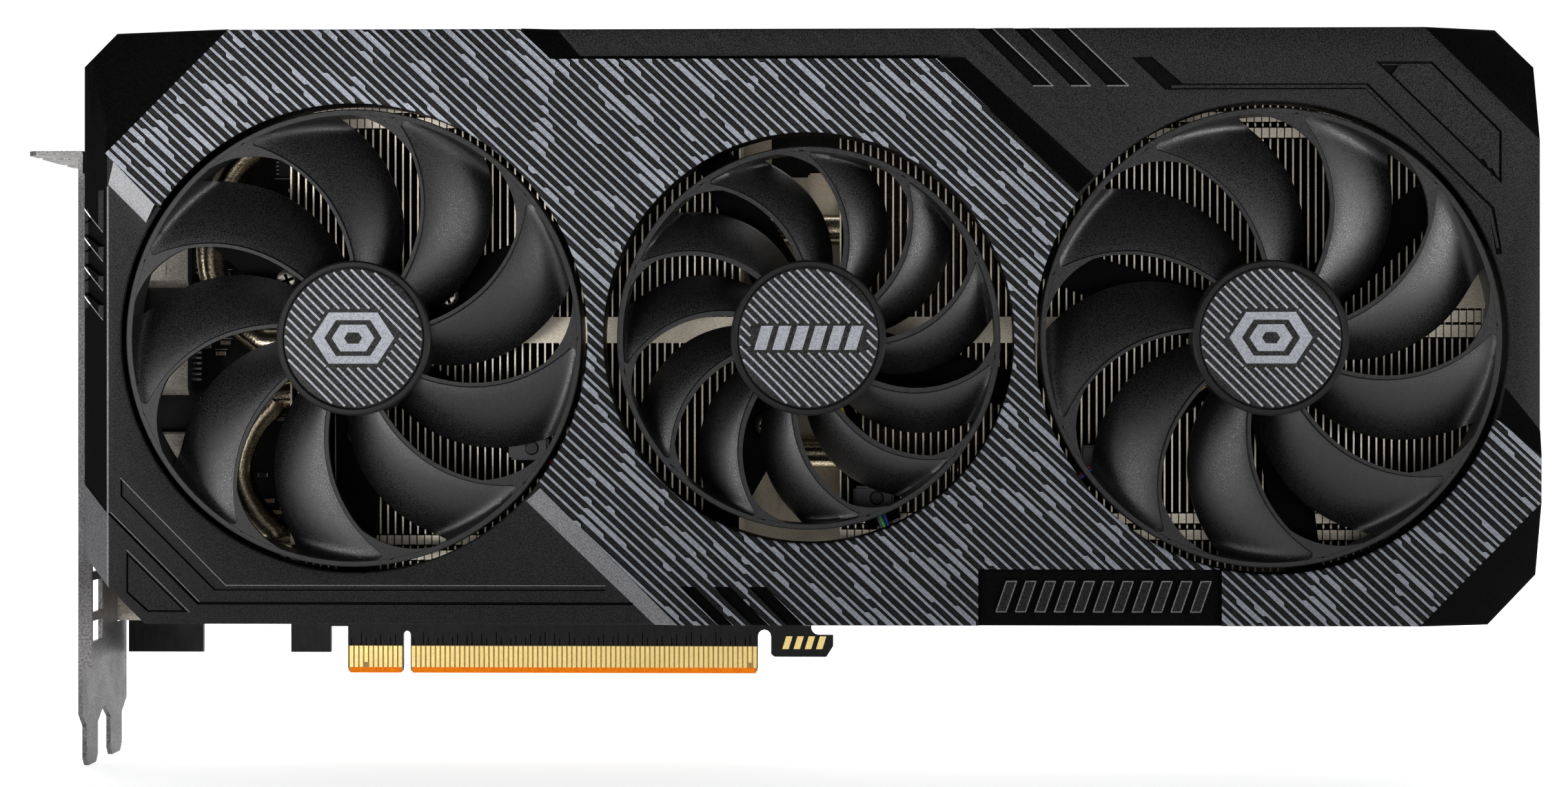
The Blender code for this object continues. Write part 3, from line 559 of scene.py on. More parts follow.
SHROUD_OUTLINE = [(-87.6, 127.1), (178.7, 127.1), (186.1, 119.9), (186.1, 22.5)]
SHROUD_OUTLINE += [(177.0, 12.9), (-81.0, 12.9), (-94.0, 25.9), (-94.0, 120.6)]
SHROUD_BODY = SHROUD_OUTLINE[:6] + [(-92.0, 23.9), (-92.0, 122.6)]
SHROUD_INSIDE = [(-84.4, 125.1), (177.5, 125.1), (184.1, 118.7), (184.1, 23.7)]
SHROUD_INSIDE += [(175.8, 14.9), (-77.8, 14.9), (-90.0, 27.1), (-90.0, 119.4)]
LIP_DEPTH = 8.0  # how deep the left edge reaches before it steps in
LOW = 1.8  # depth of the plain areas below the striped one
BAND_X = -88.2  # where the front ends and the band along the left edge starts
# the edges where the corner facets start to slope
TL = ((-64.5, 127.0), (-88.2, 103.3))
TR = ((185.6, 106.0), (164.2, 127.0))
BR = ((163.0, 12.9), (186.2, 36.7))
TL_TILT = 25.0
RIGHT_TILT = 32.0
INNER_DEPTH = 3.8  # of the inner face behind the front
RIM_DEPTH = 24.5  # of the side walls' back edge
OPENING_SIDES = 144  # of the polygon that stands for a round opening


def inset(outline, amount):
    """A convex outline, listed clockwise, moved inwards."""
    moved = []
    for a, b in sides(outline):
        way = (Vector(b) - Vector(a)).normalized()
        moved.append((Vector(a) + Vector((way.y, -way.x)) * amount, way))
    made = []
    for (p, u), (q, v) in zip(moved[-1:] + moved[:-1], moved):
        cross = u.x * v.y - u.y * v.x
        t = ((q.x - p.x) * v.y - (q.y - p.y) * v.x) / cross
        made.append((p.x + u.x * t, p.y + u.y * t))
    return made


def facet_depth(line, tilt, base):
    """Level on the left of a line, and sloping back by tilt degrees on its right."""
    distance = line_distance(*line)
    slope = math.tan(math.radians(tilt))
    return lambda x, z: base + slope * max(0.0, distance(x, z))


def ramp_depth(a, b, far):
    """From the face at the line a to b, to the plain areas' depth at a point on its right."""
    distance = line_distance(a, b)
    reach = distance(*far)
    return lambda x, z: LOW * min(1.0, max(0.0, distance(x, z) / reach))


def edge_fillet(x, z):
    """Rounds the outline and the rims of the three openings."""
    drop = 0.35 * max(0.0, 1.0 - rim_distance(SHROUD_OUTLINE, x, z) / 0.5) ** 2
    for cx, opening, *_ in FANS.values():
        away = math.hypot(x - cx, z - FAN_Z) - opening
        drop += 0.4 * max(0.0, 1.0 - abs(away) / 0.5) ** 2
    return drop


def draw_striped_area(relief):
    """The raised striped area and the bevels between it and the plain ones."""
    outline = [(-64.5, 127.0), (-8.4, 127.0), (-2.6, 121.2), (71.2, 121.2), (98.1, 95.4), (134.9, FAN_Z)]
    outline += [(178.0, 52.0), (186.2, 45.2), (186.2, 36.7), (163.2, 12.9), (22.0, 12.9), (-4.5, 39.1)]
    outline += [(-40.5, FAN_Z), (-78.7, 93.5), (-86.6, 101.7), (-88.2, 103.3)]
    striped = relief.region(outline, "ground", 0.12)
    # look, outline, the two ends of the raised edge, a point on the low one
    # the two bevels that face down and left carry a painted highlight, the four that face up or right
    # painted shade
    bevels = (
        ("silver", [(-4.5, 39.1), (22.0, 12.7), (17.5, 12.7), (-7.4, 36.6)],
         (-4.5, 39.1), (22.0, 12.7), (17.5, 12.7)),
        ("silver", [(-78.7, 93.5), (-80.7, 90.1), (-88.0, 97.4), (-86.6, 101.7)],
         (-86.6, 101.7), (-78.7, 93.5), (-80.7, 90.1)),
        ("facet", [(-8.4, 127.2), (-1.5, 127.2), (3.6, 121.2), (-2.6, 121.2)],
         (-2.6, 121.2), (-8.4, 127.2), (3.6, 121.2)),
        ("facet", [(-2.6, 121.2), (3.6, 121.9), (72.0, 121.9), (71.2, 121.1)],
         (71.2, 121.1), (-2.6, 121.1), (3.6, 121.9)),
        ("facet", [(71.2, 121.2), (76.7, 121.5), (101.6, 98.7), (98.1, 95.4)],
         (98.1, 95.4), (71.2, 121.2), (76.7, 121.5)),
        ("facet", [(178.0, 52.0), (179.5, 58.4), (186.2, 50.0), (186.2, 45.2)],
         (186.2, 45.2), (178.0, 52.0), (179.5, 57.0)),
    )
    for look, bevel, start, end, far in bevels:
        relief.region(bevel, look, ramp_depth(start, end, far))
    return striped


def draw_corners(relief):
    """The three corner facets. The upper left one's slope is returned, because the left band follows it."""
    top_left = facet_depth(TL, TL_TILT, 0.0)
    relief.region([*TL, (-88.2, 98.0), (-95.0, 98.0), (-95.0, 128.0), (-64.5, 128.0)], "facet", top_left)
    top_right = facet_depth(TR, RIGHT_TILT, LOW)
    relief.region([*TR, (164.2, 128.0), (186.6, 128.0), (186.6, 105.0)], "facet", top_right)
    bottom_right = facet_depth(BR, RIGHT_TILT, 0.0)
    relief.region([*BR, (187.0, 36.7), (187.0, 12.0), (162.0, 12.0)], "facet", bottom_right)
    return top_left


def draw_left_band(relief, top_left):
    """The sloping band along the left edge, with its louvres."""

    def raised(amount):
        def depth(x, z):
            return max(LOW + max(0.0, BAND_X - x), top_left(x, z) if z > 98.0 else 0.0) - amount

        return depth

    relief.region(rectangle(BAND_X, -95.0, 10.0, 130.0), "facet", raised(0.0))
    relief.region([(-88.1, 34.2), (-95.0, 40.9), (-95.0, 20.0), (-88.1, 19.0)], "lit", raised(0.0))
    relief.line([(-94.0, 39.9), (-88.1, 34.2)], 0.25, "groove", raised(-0.3))
    pitch = 5.63
    for k in range(4):
        z = 93.4 - pitch * k
        top = 96.4 if k == 0 else z - 2.1 + pitch - 5.8
        strip = [(-90.4, top), (-89.1, top), (-89.1, z - 5.2), (-90.4, z - 4.0)]
        relief.region(strip, "shroud", raised(0.1))
        fin = [(-95.0, z - 0.4), (-92.9, z - 0.4), (-92.9, z - 2.6), (-95.0, z - 3.2)]
        relief.region(fin, "shroud", raised(0.1))
        if k < 3:
            slot = [(-95.0, z - 3.3), (-93.6, z - 3.1), (-92.3, z - 2.2), (-88.5, z - 5.7), (-88.5, z - 7.2)]
            slot += [(-89.2, z - 8.0), (-90.2, z - 7.8), (-95.0, z - 4.6)]
            relief.region(slot, "groove", raised(-1.1))
        # the light lines along each louvre's edges are painted highlights
        relief.line([(-94.5, z + 0.2), (-92.4, z - 2.0)], 0.26, "bright", raised(0.15))
        relief.line([(-92.4, z - 2.0), (-89.3, z - 5.1)], 0.22, "edge", raised(0.15))
    # the light line down the ridge where the band starts is a painted highlight
    relief.line([(-88.1, 97.0), (-88.1, 19.6)], 0.34, "edge", LOW - 0.02)


def draw_panel(relief):
    """The plain panel low on the right, with a row of slanted bars."""
    relief.region(rectangle(79.2, 125.5, 23.7, 12.0), "facet", 0.9)
    relief.region(rectangle(79.7, 125.0, 23.2, 12.0), "groove", 1.1)
    for k in range(11):
        bar = slanted(82.6 + 3.7 * k, 15.6, 1.9, 2.0, 5.8)
        relief.region(bar, "shroud", 0.35)
        # the light outline round each bar is a painted highlight on its edges
        relief.line([*bar, bar[0]], 0.24, "edge", 0.33)


def draw_slashes(relief):
    """Three slashes at the top edge and three at the bottom edge."""
    for x, width in ((77.8, 3.2), (85.0, 3.2), (91.9, 3.5)):
        right, low = (x + width + 12.5, 116.0), (x + 12.0, 116.0)
        relief.region([(x, 128.0), (x + width, 128.0), right, low], "groove", LOW + 0.55)
        # the light line along each slash's edges is a painted highlight
        relief.line([(x + width, 128.0), right, low], 0.25, "edge", LOW - 0.02)
    for x, width in ((22.2, 2.8), (28.6, 3.3), (35.3, 3.3)):
        relief.region(slanted(x, 20.3, width, 9.3, -9.3), "facet", 0.8)


def draw_sunk(relief, outline, margin, sunk, floor):
    """A groove along the inside of an outline, round a nearly level floor."""
    relief.region(outline, "groove", LOW + sunk)
    relief.region(inset(outline, margin), "shroud", LOW + floor)


def draw_upper_right(relief):
    """Lines and marks engraved in the plain area at the upper right."""
    mark = [(108.5, 121.4), (112.4, 121.5), (118.2, 116.4), (117.0, 115.2), (114.9, 115.2)]
    relief.region(mark, "groove", LOW + 0.4)
    relief.line([(115.2, 115.8), (153.2, 115.8), (176.9, 92.3), (178.3, 84.0)], 1.15, "groove", LOW + 0.35)
    relief.line([(116.2, 115.8), (153.0, 115.8), (176.6, 92.3), (178.1, 85.0)], 0.55, "shroud", LOW + 0.1)
    draw_sunk(relief, [(154.9, 120.5), (165.6, 120.5), (178.8, 107.2), (178.8, 97.2)], 0.45, 0.4, 0.15)
    relief.region([(156.2, 119.8), (159.4, 119.8), (157.9, 117.9)], "groove", LOW + 0.5)
    for x, z in ((174.6, 101.9), (176.2, 100.2)):
        relief.region(slanted(x, z, 0.9, 0.8, -1.6), "groove", LOW + 0.5)


def draw_lower_left(relief):
    """Lines and channels engraved in the plain area at the lower left."""
    relief.line([(-87.8, 34.1), (-70.6, 16.8)], 0.5, "groove", LOW + 0.5)
    # the thin light lines beside these grooves and channels are painted highlights on their edges
    relief.line([(-87.6, 34.4), (-70.3, 17.1)], 0.16, "edge", LOW - 0.05)
    relief.line([(-70.6, 16.9), (13.0, 16.9)], 0.55, "groove", LOW + 0.6)
    channel = [(-85.6, 40.9), (-65.3, 20.3), (7.8, 20.3), (7.8, 19.4), (-67.5, 19.4), (-85.6, 37.5)]
    relief.region(channel, "shroud", LOW + 0.45)
    relief.line([(-85.6, 40.9), (-65.3, 20.35), (7.8, 20.35)], 0.18, "edge", LOW - 0.03)
    relief.line([(-85.5, 40.7), (-85.5, 37.5), (-67.5, 19.45), (7.8, 19.45)], 0.22, "groove", LOW + 0.6)
    draw_sunk(relief, [(-84.5, 26.8), (-72.7, 15.2), (-80.4, 15.2), (-84.5, 18.9)], 0.35, 0.45, 0.12)
    relief.line([(-84.4, 27.1), (-72.3, 15.2)], 0.18, "edge", LOW - 0.05)


def draw_shroud_front(relief):
    """All of the shroud's front, from the plain areas up to the printed stripes."""
    relief.region(SHROUD_OUTLINE, "shroud", LOW)
    striped = draw_striped_area(relief)
    draw_left_band(relief, draw_corners(relief))
    draw_panel(relief)
    draw_slashes(relief)
    draw_upper_right(relief)
    draw_lower_left(relief)
    for cx, opening, *_ in FANS.values():
        relief.region(circle(cx, FAN_Z, opening, OPENING_SIDES), None, 0.0)
        for margin in (0.25, 0.6):
            relief.guides.append(circle(cx, FAN_Z, opening + margin, OPENING_SIDES))
    for margin in (0.2, 0.5):
        relief.guides.append(inset(SHROUD_OUTLINE, margin))
    relief.guides.append(rectangle(-92.0, -96.0, 10.0, 130.0))
    add_stripes(relief, striped, (14.0, 161.0), (-142.0, 132.0), 7, (0.26, 0.0))


def in_opening(x, z):
    """Whether a point lies on the rim of a fan opening."""
    return any(abs(math.hypot(x - cx, z - FAN_Z) - opening) < 1.0 for cx, opening, *_ in FANS.values())


def add_shroud_back(sheet):
    """The front plate's inner face and the rim's inner walls."""
    rear = Relief(FRONT, 1.0)
    wall = 2.2
    slopes = [facet_depth(TL, TL_TILT, wall), facet_depth(TR, RIGHT_TILT, LOW + wall)]
    slopes.append(facet_depth(BR, RIGHT_TILT, wall))

    def level(x, z):
        return -max(INNER_DEPTH, -83.6 - x, *(slope(x, z) for slope in slopes))

    rear.region(SHROUD_INSIDE, "groove", level)
    for a, b in (TL, TR, BR):
        a, b = Vector(a), Vector(b)
        way = (b - a).normalized() * 4.0
        rear.guides.append([tuple(a - way), tuple(b + way), tuple((a + b) / 2 + Vector((1.0, 1.0)))])
    for cx, opening, *_ in FANS.values():
        rear.region(circle(cx, FAN_Z, opening, OPENING_SIDES), None, 0.0)
    rear.surface(sheet, lambda x, z, look: (-INNER_DEPTH if in_opening(x, z) else -RIM_DEPTH, "groove"))


def add_shroud_rim(sheet):
    """The rim's back edge, and the step behind the left lip."""
    count = len(SHROUD_BODY)
    ring = [(x, FRONT + RIM_DEPTH, z) for x, z in SHROUD_BODY + SHROUD_INSIDE]
    strips = [(i, (i + 1) % count, count + (i + 1) % count, count + i) for i in range(count)]
    sheet.add(ring, strips, "shroud")
    inner = (SHROUD_BODY[7], SHROUD_BODY[6])
    outer = (SHROUD_OUTLINE[6], SHROUD_OUTLINE[7])
    lip = [(x, FRONT + LIP_DEPTH, z) for x, z in inner + outer]
    side = [(x, FRONT + RIM_DEPTH, z) for x, z in inner]
    sheet.add(lip + side, [(0, 1, 2, 3), (0, 4, 5, 1)], "shroud")


def add_ducts(sheet):
    """A thin wall round each fan, and the posts that its frame is screwed to."""
    front, back, wall = -43.0, -36.3, 0.5
    for cx, opening, _, _, _, arms, _ in FANS.values():
        duct = [(opening, front), (opening + wall, front), (opening + wall, back), (opening, back)]
        sheet.lathe(duct, cx, FAN_Z, OPENING_SIDES, "groove")
        for angle in arms:
            x, z = polar(cx, FAN_Z, opening + 2.8, angle)
            post = [(2.2, FRONT + INNER_DEPTH - 0.5), (2.2, -33.8), (2.0, -33.5), (0.0, -33.5)]
            sheet.lathe(post, x, z, 24, "groove", closed=False)


def build_shroud():
    """One shell: front, side walls, inner faces and the ducts behind the openings."""
    front = Relief(FRONT)
    draw_shroud_front(front)
    front.fillet = edge_fillet
    sheet = Sheet()

    def outer_back(x, z, look):
        if in_opening(x, z):
            return INNER_DEPTH, "groove"
        return (LIP_DEPTH, "facet") if x < -92.001 else (RIM_DEPTH, "shroud")

    front.surface(sheet, outer_back)
    add_shroud_back(sheet)
    add_shroud_rim(sheet)
    add_ducts(sheet)
    sheet.piece("shroud_skin", "card", ("shroud",), 28.0)


# --- Fans -------------------------------------------------------------------------------------------

HUB_R = 14.85
RING_FRONT = -45.3
RING_BACK = -36.0
RING_T = 1.1  # how thick the ring's wall is
CAP_R = 13.4
PRINT = -0.03  # how far printed paint stands out


def polar(x, z, radius, angle):
    return x + radius * math.cos(math.radians(angle)), z + radius * math.sin(math.radians(angle))


def outwards(radius, ring):
    """0 at the hub and 1 at the ring."""
    return (radius - HUB_R) / (ring - HUB_R)


def front_lead(radius, ring, turn):
    """The angle of a blade's front edge, which sweeps forward towards the ring."""
    t = outwards(radius, ring)
    return turn + (-29.0 + 17.0 * t + 12.0 * t * t)


def add_blade(sheet, cx, ring, share, turn, lip, fillet):
    """A curved blade with a flat front edge and a fillet that turns its tip up to the ring."""
    hub = HUB_R - 0.5
    inner = ring - RING_T
    rows, columns = 28, 20
    radii = [inner - (inner - hub) * (1.0 - i / (rows - 1)) ** 1.3 for i in range(rows)] + [ring - 0.45]
    front = []
    back = []
    for radius in radii:
        lead = front_lead(radius, ring, turn)
        chord = (32.0 - 7.0 * outwards(radius, ring)) * share
        width = math.degrees(lip / radius) / chord
        step = math.degrees((lip + 0.3) / radius) / chord
        tip = min(1.0, max(0.0, (radius - (inner - fillet)) / fillet))
        rise = 1.0 - math.sqrt(1.0 - tip * tip)
        for c in [0.0, width] + [step + (1.0 - step) * (j / (columns - 2)) for j in range(columns - 1)]:
            body = max(0.0, (c - width) / (1.0 - width))
            depth = 0.55 * min(1.0, body / max(1e-6, (step - width) / (1.0 - width))) + 7.1 * body**1.5
            depth = 0.0 if body == 0.0 else depth * (1.0 - rise) + 0.12 * rise
            x, z = polar(cx, FAN_Z, radius, lead - chord * c)
            front.append((x, RING_FRONT + 0.02 + depth, z))
            back.append((x, RING_FRONT + 1.12 + depth + 0.4 * (1.0 - body) * min(1.0, body * 4.0), z))
    across = columns + 1
    faces = []
    base = len(front)
    for i in range(rows):
        for j in range(columns):
            a = i * across + j
            d = a + across
            faces.append((a, a + 1, d + 1, d))
            faces.append((base + d, base + d + 1, base + a + 1, base + a))
    border = [i * across for i in range(rows)] + [rows * across + j for j in range(columns)]
    border += [i * across + columns for i in range(rows, 0, -1)] + list(range(columns, 0, -1))
    for here, there in sides(border):
        faces.append((here, there, base + there, base + here))
    sheet.add(front + back, faces, "fan")
    # the flat front edge strip uses the lighter fan rim look, a painted highlight
    points = []
    steps = 36
    for i in range(steps + 1):
        radius = HUB_R - 0.3 + (inner + 0.6 - HUB_R) * i / steps
        lead = front_lead(radius, ring, turn)
        for shift in (0.0, lip):
            x, z = polar(cx, FAN_Z, radius, lead - math.degrees(shift / radius))
            points.append((x, RING_FRONT, z))
    sheet.add(points, [(2 * i, 2 * i + 1, 2 * i + 3, 2 * i + 2) for i in range(steps)], "fan_edge")


def add_gusset(sheet, cx, ring, turn, lip, drop, reach, side):
    """A flat web that rounds the corner between a blade's front edge and the ring."""
    inner = ring - RING_T + 0.05
    steps = 14
    low = inner - drop
    shift = 0.0 if side > 0 else lip

    def lead(radius):
        return front_lead(radius, ring, turn) - math.degrees(shift / radius)

    def spot(radius, angle):
        return Vector(polar(cx, FAN_Z, radius, angle))

    corner = lead(inner)
    angle = corner + side * math.degrees(reach / inner)
    start = spot(low, lead(low))
    end = spot(inner, angle)
    pull = spot(inner - 0.6, corner + side * 0.5)
    count = steps + 1
    curve = []
    border = []
    for i in range(count):
        t = i / steps
        curve.append((1 - t) ** 2 * start + 2 * t * (1 - t) * pull + t * t * end)
        if t <= 0.5:
            radius = low + (inner - low) * t * 2
            border.append(spot(radius, lead(radius)))
        else:
            border.append(spot(inner, corner + (angle - corner) * (t * 2 - 1)))
    thick = 1.3 if side > 0 else 0.7
    points = [(p.x, RING_FRONT + y, p.y) for y in (0.0, thick) for p in curve + border]
    faces = []
    for i in range(steps):
        face = (i, i + 1, count + i + 1, count + i)
        rear = tuple(2 * count + k for k in face[::-1])
        rim = (i + 1, i, 2 * count + i, 2 * count + i + 1)
        if side < 0:
            face, rear, rim = face[::-1], rear[::-1], rim[::-1]
        faces += [face, rear, rim]
    sheet.add(points, faces, "fan_edge")


def build_rotor(name, cx, ring, blades, first):
    """The hub's cup, the outer ring, and the blades between them with a web at each side of their tips."""
    sheet = Sheet()
    inner = HUB_R - 1.5
    cup = [(0.0, -45.1), (13.6, -45.1), (13.6, -45.8), (13.8, -46.0), (14.5, -46.0), (HUB_R, -45.65)]
    cup += [(HUB_R, -36.7), (14.65, -36.5), (13.5, -36.5), (inner, -36.7), (inner, -43.9), (0.0, -43.9)]
    sheet.lathe(cup, cx, FAN_Z, 96, "hub_rim")
    rim = [(ring - RING_T, RING_FRONT + 0.12), (ring - RING_T + 0.12, RING_FRONT), (ring - 0.2, RING_FRONT)]
    rim += [(ring, RING_FRONT + 0.2), (ring, RING_BACK)]
    rim += [(ring - 0.9, RING_BACK), (ring - RING_T, RING_BACK - 0.2)]
    sheet.lathe(rim, cx, FAN_Z, 128, "fan_edge")
    if name == "middle":
        lip, fillet, web, corner = 0.95, 1.3, (3.0, 4.5), (1.2, 1.4)
    else:
        lip, fillet, web, corner = 0.7, 3.0, (6.0, 8.0), (1.8, 2.2)
    for index in range(blades):
        turn = first + 360.0 * index / blades
        add_blade(sheet, cx, ring, 9.0 / blades, turn, lip, fillet)
        add_gusset(sheet, cx, ring, turn, lip, *web, 1)
        add_gusset(sheet, cx, ring, turn, lip, *corner, -1)
    sheet.piece(name + "_rotor_skin", name + "_fan", (name + "_rotor",), 38.0)


def print_lines(relief, target, cx, keep_out):
    """Straight printed lines that run down to the right across a disc, broken round its emblem."""
    way = Vector((math.sqrt(0.5), -math.sqrt(0.5)))
    side = Vector((-way.y, way.x))
    pitch, widest, reach = 1.38, 12.8, CAP_R - 0.3
    for k in range(-9, 10):
        offset = pitch * (k + 0.5)
        if abs(offset) > widest:
            continue
        half = math.sqrt(reach**2 - offset * offset)
        count = round(half * 20)
        start = None
        for i in range(count + 1):
            spot = side * offset + way * (half * (2 * i / count - 1))
            hidden = keep_out(spot.x, spot.y)
            if start is None and not hidden:
                start = spot
            if start is not None and (hidden or i == count):
                if (spot - start).length > 0.5:
                    line = [(cx + p.x, FAN_Z + p.y) for p in (start, spot)]
                    relief.region(stroke(line, 0.40)[0], "print", PRINT, target)
                start = None


EMBLEM = [(7.9, 0.0), (4.7, 4.9), (-4.7, 4.9), (-7.9, 0.0), (-4.7, -4.9), (4.7, -4.9)]


def near_emblem(x, z):
    """Whether the printed lines stop here, to stay clear of the emblem."""
    return abs(z) < 5.7 and abs(x) * 4.9 + abs(z) * 3.2 < 7.9 * 4.9 + 0.8 * 5.85


def build_cap(name, cx):
    """The hub's disc with its printed lines, and an emblem or, in the middle, slanted bars."""
    relief = Relief(-45.97)
    disc = relief.region(circle(cx, FAN_Z, CAP_R, 96), "cap", 0.0)
    relief.fillet = lambda x, z: 0.25 * max(0.0, 1.0 - (CAP_R - math.hypot(x - cx, z - FAN_Z)) / 0.35) ** 2
    for margin in (0.2, 0.35):
        relief.guides.append(circle(cx, FAN_Z, CAP_R - margin, 96))
    if name == "middle":
        print_lines(relief, disc, cx, lambda x, z: abs(z) < 2.9 and abs(x) < 11.2)
        for k in range(6):
            x = cx - 10.4 + 3.45 * k
            relief.region(slanted(x, FAN_Z - 2.3, 2.3, 1.4, 4.6), "print", PRINT, disc)
    else:
        print_lines(relief, disc, cx, near_emblem)
        for scale, look in ((1.0, "print"), (0.70, "cap"), (0.52, "print"), (0.22, "cap")):
            shape = [(cx + x * scale, FAN_Z + z * scale) for x, z in EMBLEM]
            relief.region(shape, look, PRINT if look == "print" else 0.0, disc)
    sheet = Sheet()
    relief.surface(sheet, lambda x, z, look: (0.55, "cap"))
    sheet.piece(name + "_cap_disc", name + "_fan", (name + "_hub_cap",), 30.0)


def screw_head(sheet, x, y, z, radius, facing=-1.0):
    """A pan head with a cross recess, facing -Y or +Y."""
    relief = Relief(y, facing)
    relief.region(circle(x, z, radius, 28), "screw", 0.0)
    relief.guides.append(circle(x, z, radius * 0.72, 28))
    relief.fillet = lambda px, pz: 0.45 * max(0.0, (math.hypot(px - x, pz - z) / radius - 0.55) / 0.45) ** 2
    centre = Vector((x, z))
    for turn in (20.0, 110.0):
        arm = direction(turn) * (radius * 0.55)
        relief.line([tuple(centre - arm), tuple(centre + arm)], radius * 0.28, "groove", 0.6)
    relief.surface(sheet, lambda px, pz, look: (1.1, "screw"))


def build_frame_details(name, cx, opening, arms, wire_arm):
    """The heads of the frame's screws, and the clip that holds the wires."""
    for index, angle in enumerate(arms, 1):
        sheet = Sheet()
        x, z = polar(cx, FAN_Z, 18.6, angle)
        screw_head(sheet, x, -34.6, z, 2.2)
        sheet.piece(f"{name}_screw_head_{index}", "card", (f"{name}_fan_screw_{index}",))
    sheet = Sheet()
    x, z = polar(cx, FAN_Z, opening - 6.0, wire_arm)
    sheet.block((x - 3.9, x + 3.9), (-36.0, -33.3), (z - 2.3, z + 2.3), "plastic", 0.5)
    button = [(0.0, -36.25), (1.1, -36.25), (1.4, -36.0), (1.4, -35.8), (0.0, -35.8)]
    sheet.lathe(button, x + 0.6, z, 24, "fan_edge")
    sheet.piece(name + "_wire_clip", "card")


# the middle of each lead's bundle: along the frame's arm, then back to its plug on the board
LEADS = {
    "left": (
        (-30.5, -34.6, 61.2), (-28.5, -34.7, 60.1), (-14.5, -34.7, 51.0), (-3.0, -34.7, 43.4),
        (3.0, -35.0, 37.5), (7.5, -35.6, 30.0), (9.6, -35.0, 22.6), (10.0, -30.0, 17.9),
        (10.0, -20.0, 17.6), (10.0, -10.4, 17.6),
    ),
    "middle": (
        (51.2, -34.6, 56.8), (52.0, -34.7, 54.9), (56.9, -34.7, 42.9), (61.3, -34.7, 32.0),
        (63.4, -35.0, 26.6), (64.4, -34.8, 21.4), (64.5, -31.0, 17.9), (64.5, -20.0, 17.6),
        (64.5, -10.4, 17.6),
    ),
    "right": (
        (125.3, -34.6, 60.9), (123.5, -34.7, 59.6), (110.0, -34.7, 49.8), (99.8, -34.7, 42.2),
        (94.4, -35.0, 36.0), (91.0, -35.6, 28.6), (90.1, -35.0, 22.2), (90.0, -30.0, 17.9),
        (90.0, -20.0, 17.6), (90.0, -10.4, 17.6),
    ),
}
# each lead's four wires differ only in the colour of the third
THIRD_WIRE = {"left": "red", "middle": "green", "right": "red"}


def smooth_path(corners, step):
    """Points on a smooth curve through the route's corners."""
    points = [Vector(corner) for corner in corners]
    padded = [points[0] * 2 - points[1], *points, points[-1] * 2 - points[-2]]
    path = []
    for i in range(len(points) - 1):
        a, b, c, d = padded[i : i + 4]
        count = max(1, round((c - b).length / step))
        for k in range(count):
            t = k / count
            spot = 2 * b + (c - a) * t + (2 * a - 5 * b + 4 * c - d) * t * t + (3 * b - 3 * c + d - a) * t**3
            path.append(0.5 * spot)
    path.append(points[-1])
    return path


def tube(name, path, radius, look, body, roundness):
    """A round tube along a path."""
    curve = bpy.data.curves.new(name, "CURVE")
    curve.dimensions = "3D"
    curve.bevel_depth = radius * MM
    curve.bevel_resolution = roundness
    curve.use_fill_caps = True
    spline = curve.splines.new("POLY")
    spline.points.add(len(path) - 1)
    for point, spot in zip(spline.points, path):
        point.co = (*(Vector(spot) * MM), 1.0)
    spline.use_smooth = True
    curve.materials.append(MAT[look])
    obj = place(name, curve)
    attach(obj, body)
    return obj


def build_wires(name):
    """Four thin wires twisted slightly round the lead's route."""
    path = smooth_path(LEADS[name], 1.6)
    for index, colour in enumerate(("yellow", "black", THIRD_WIRE[name], "blue")):
        spots = []
        for k, spot in enumerate(path):
            way = (path[min(k + 1, len(path) - 1)] - path[max(k - 1, 0)]).normalized()
            across = way.cross(Vector((0.0, 1.0, 0.0)))
            if across.length < 0.2:
                across = way.cross(Vector((1.0, 0.0, 0.0)))
            across.normalize()
            up = across.cross(way).normalized()
            angle = math.tau * index / 4 + k * 0.09
            spots.append(spot + across * math.cos(angle) * 0.62 + up * math.sin(angle) * 0.5)
        wire = tube(f"{name}_wire_{index + 1}", spots, 0.42, "wire_" + colour, "card", 3)
        if index == 0:
            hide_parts(name + "_fan_lead")


# --- Cooler -----------------------------------------------------------------------------------------

PIPE_Y = -9.3
PIPE_R = 3.0
FIN_PITCH = 1.47
FIN_FRONT = -30.2
FIN_BACK = -12.7
FIN_LOW = 21.0
FIN_HIGH = 118.0
PIPES = (
    ((31.0, 67.3), (-52.0, 67.3), (-67.0, 69.4), (-74.2, 80.0),
     (-74.2, 94.0), (-67.0, 106.0), (-52.0, 108.2), (30.0, 108.2)),
    ((31.0, 57.6), (-52.0, 57.6), (-63.0, 54.6), (-68.6, 46.0),
     (-68.6, 38.0), (-62.5, 29.5), (-52.0, 27.4), (25.0, 27.4)),
    ((-20.0, 90.0), (20.0, 90.0), (60.0, 90.0), (110.0, 88.0), (172.0, 88.0)),
    ((-20.0, 45.0), (20.0, 45.0), (60.0, 45.0), (110.0, 42.0), (172.0, 42.0)),
)
# heights of the two rows of folded tabs at each end of a stack's fins
TAB_ROWS = {
    "fin_stack_left": (((24.6, 26.4), (27.6, 29.4)), ((109.3, 111.3), (112.3, 114.2))),
    "fin_stack_right": (((28.7, 30.6), (31.9, 33.8)), ((107.1, 109.0), (110.2, 112.1))),
}
MIDDLE_TABS = ((68.2, 70.6), (71.1, 73.4))  # on the last fins of the right stack only
BOX_FACES = [(0, 3, 2, 1), (4, 5, 6, 7), (0, 1, 5, 4), (1, 2, 6, 5), (2, 3, 7, 6), (3, 0, 4, 7)]


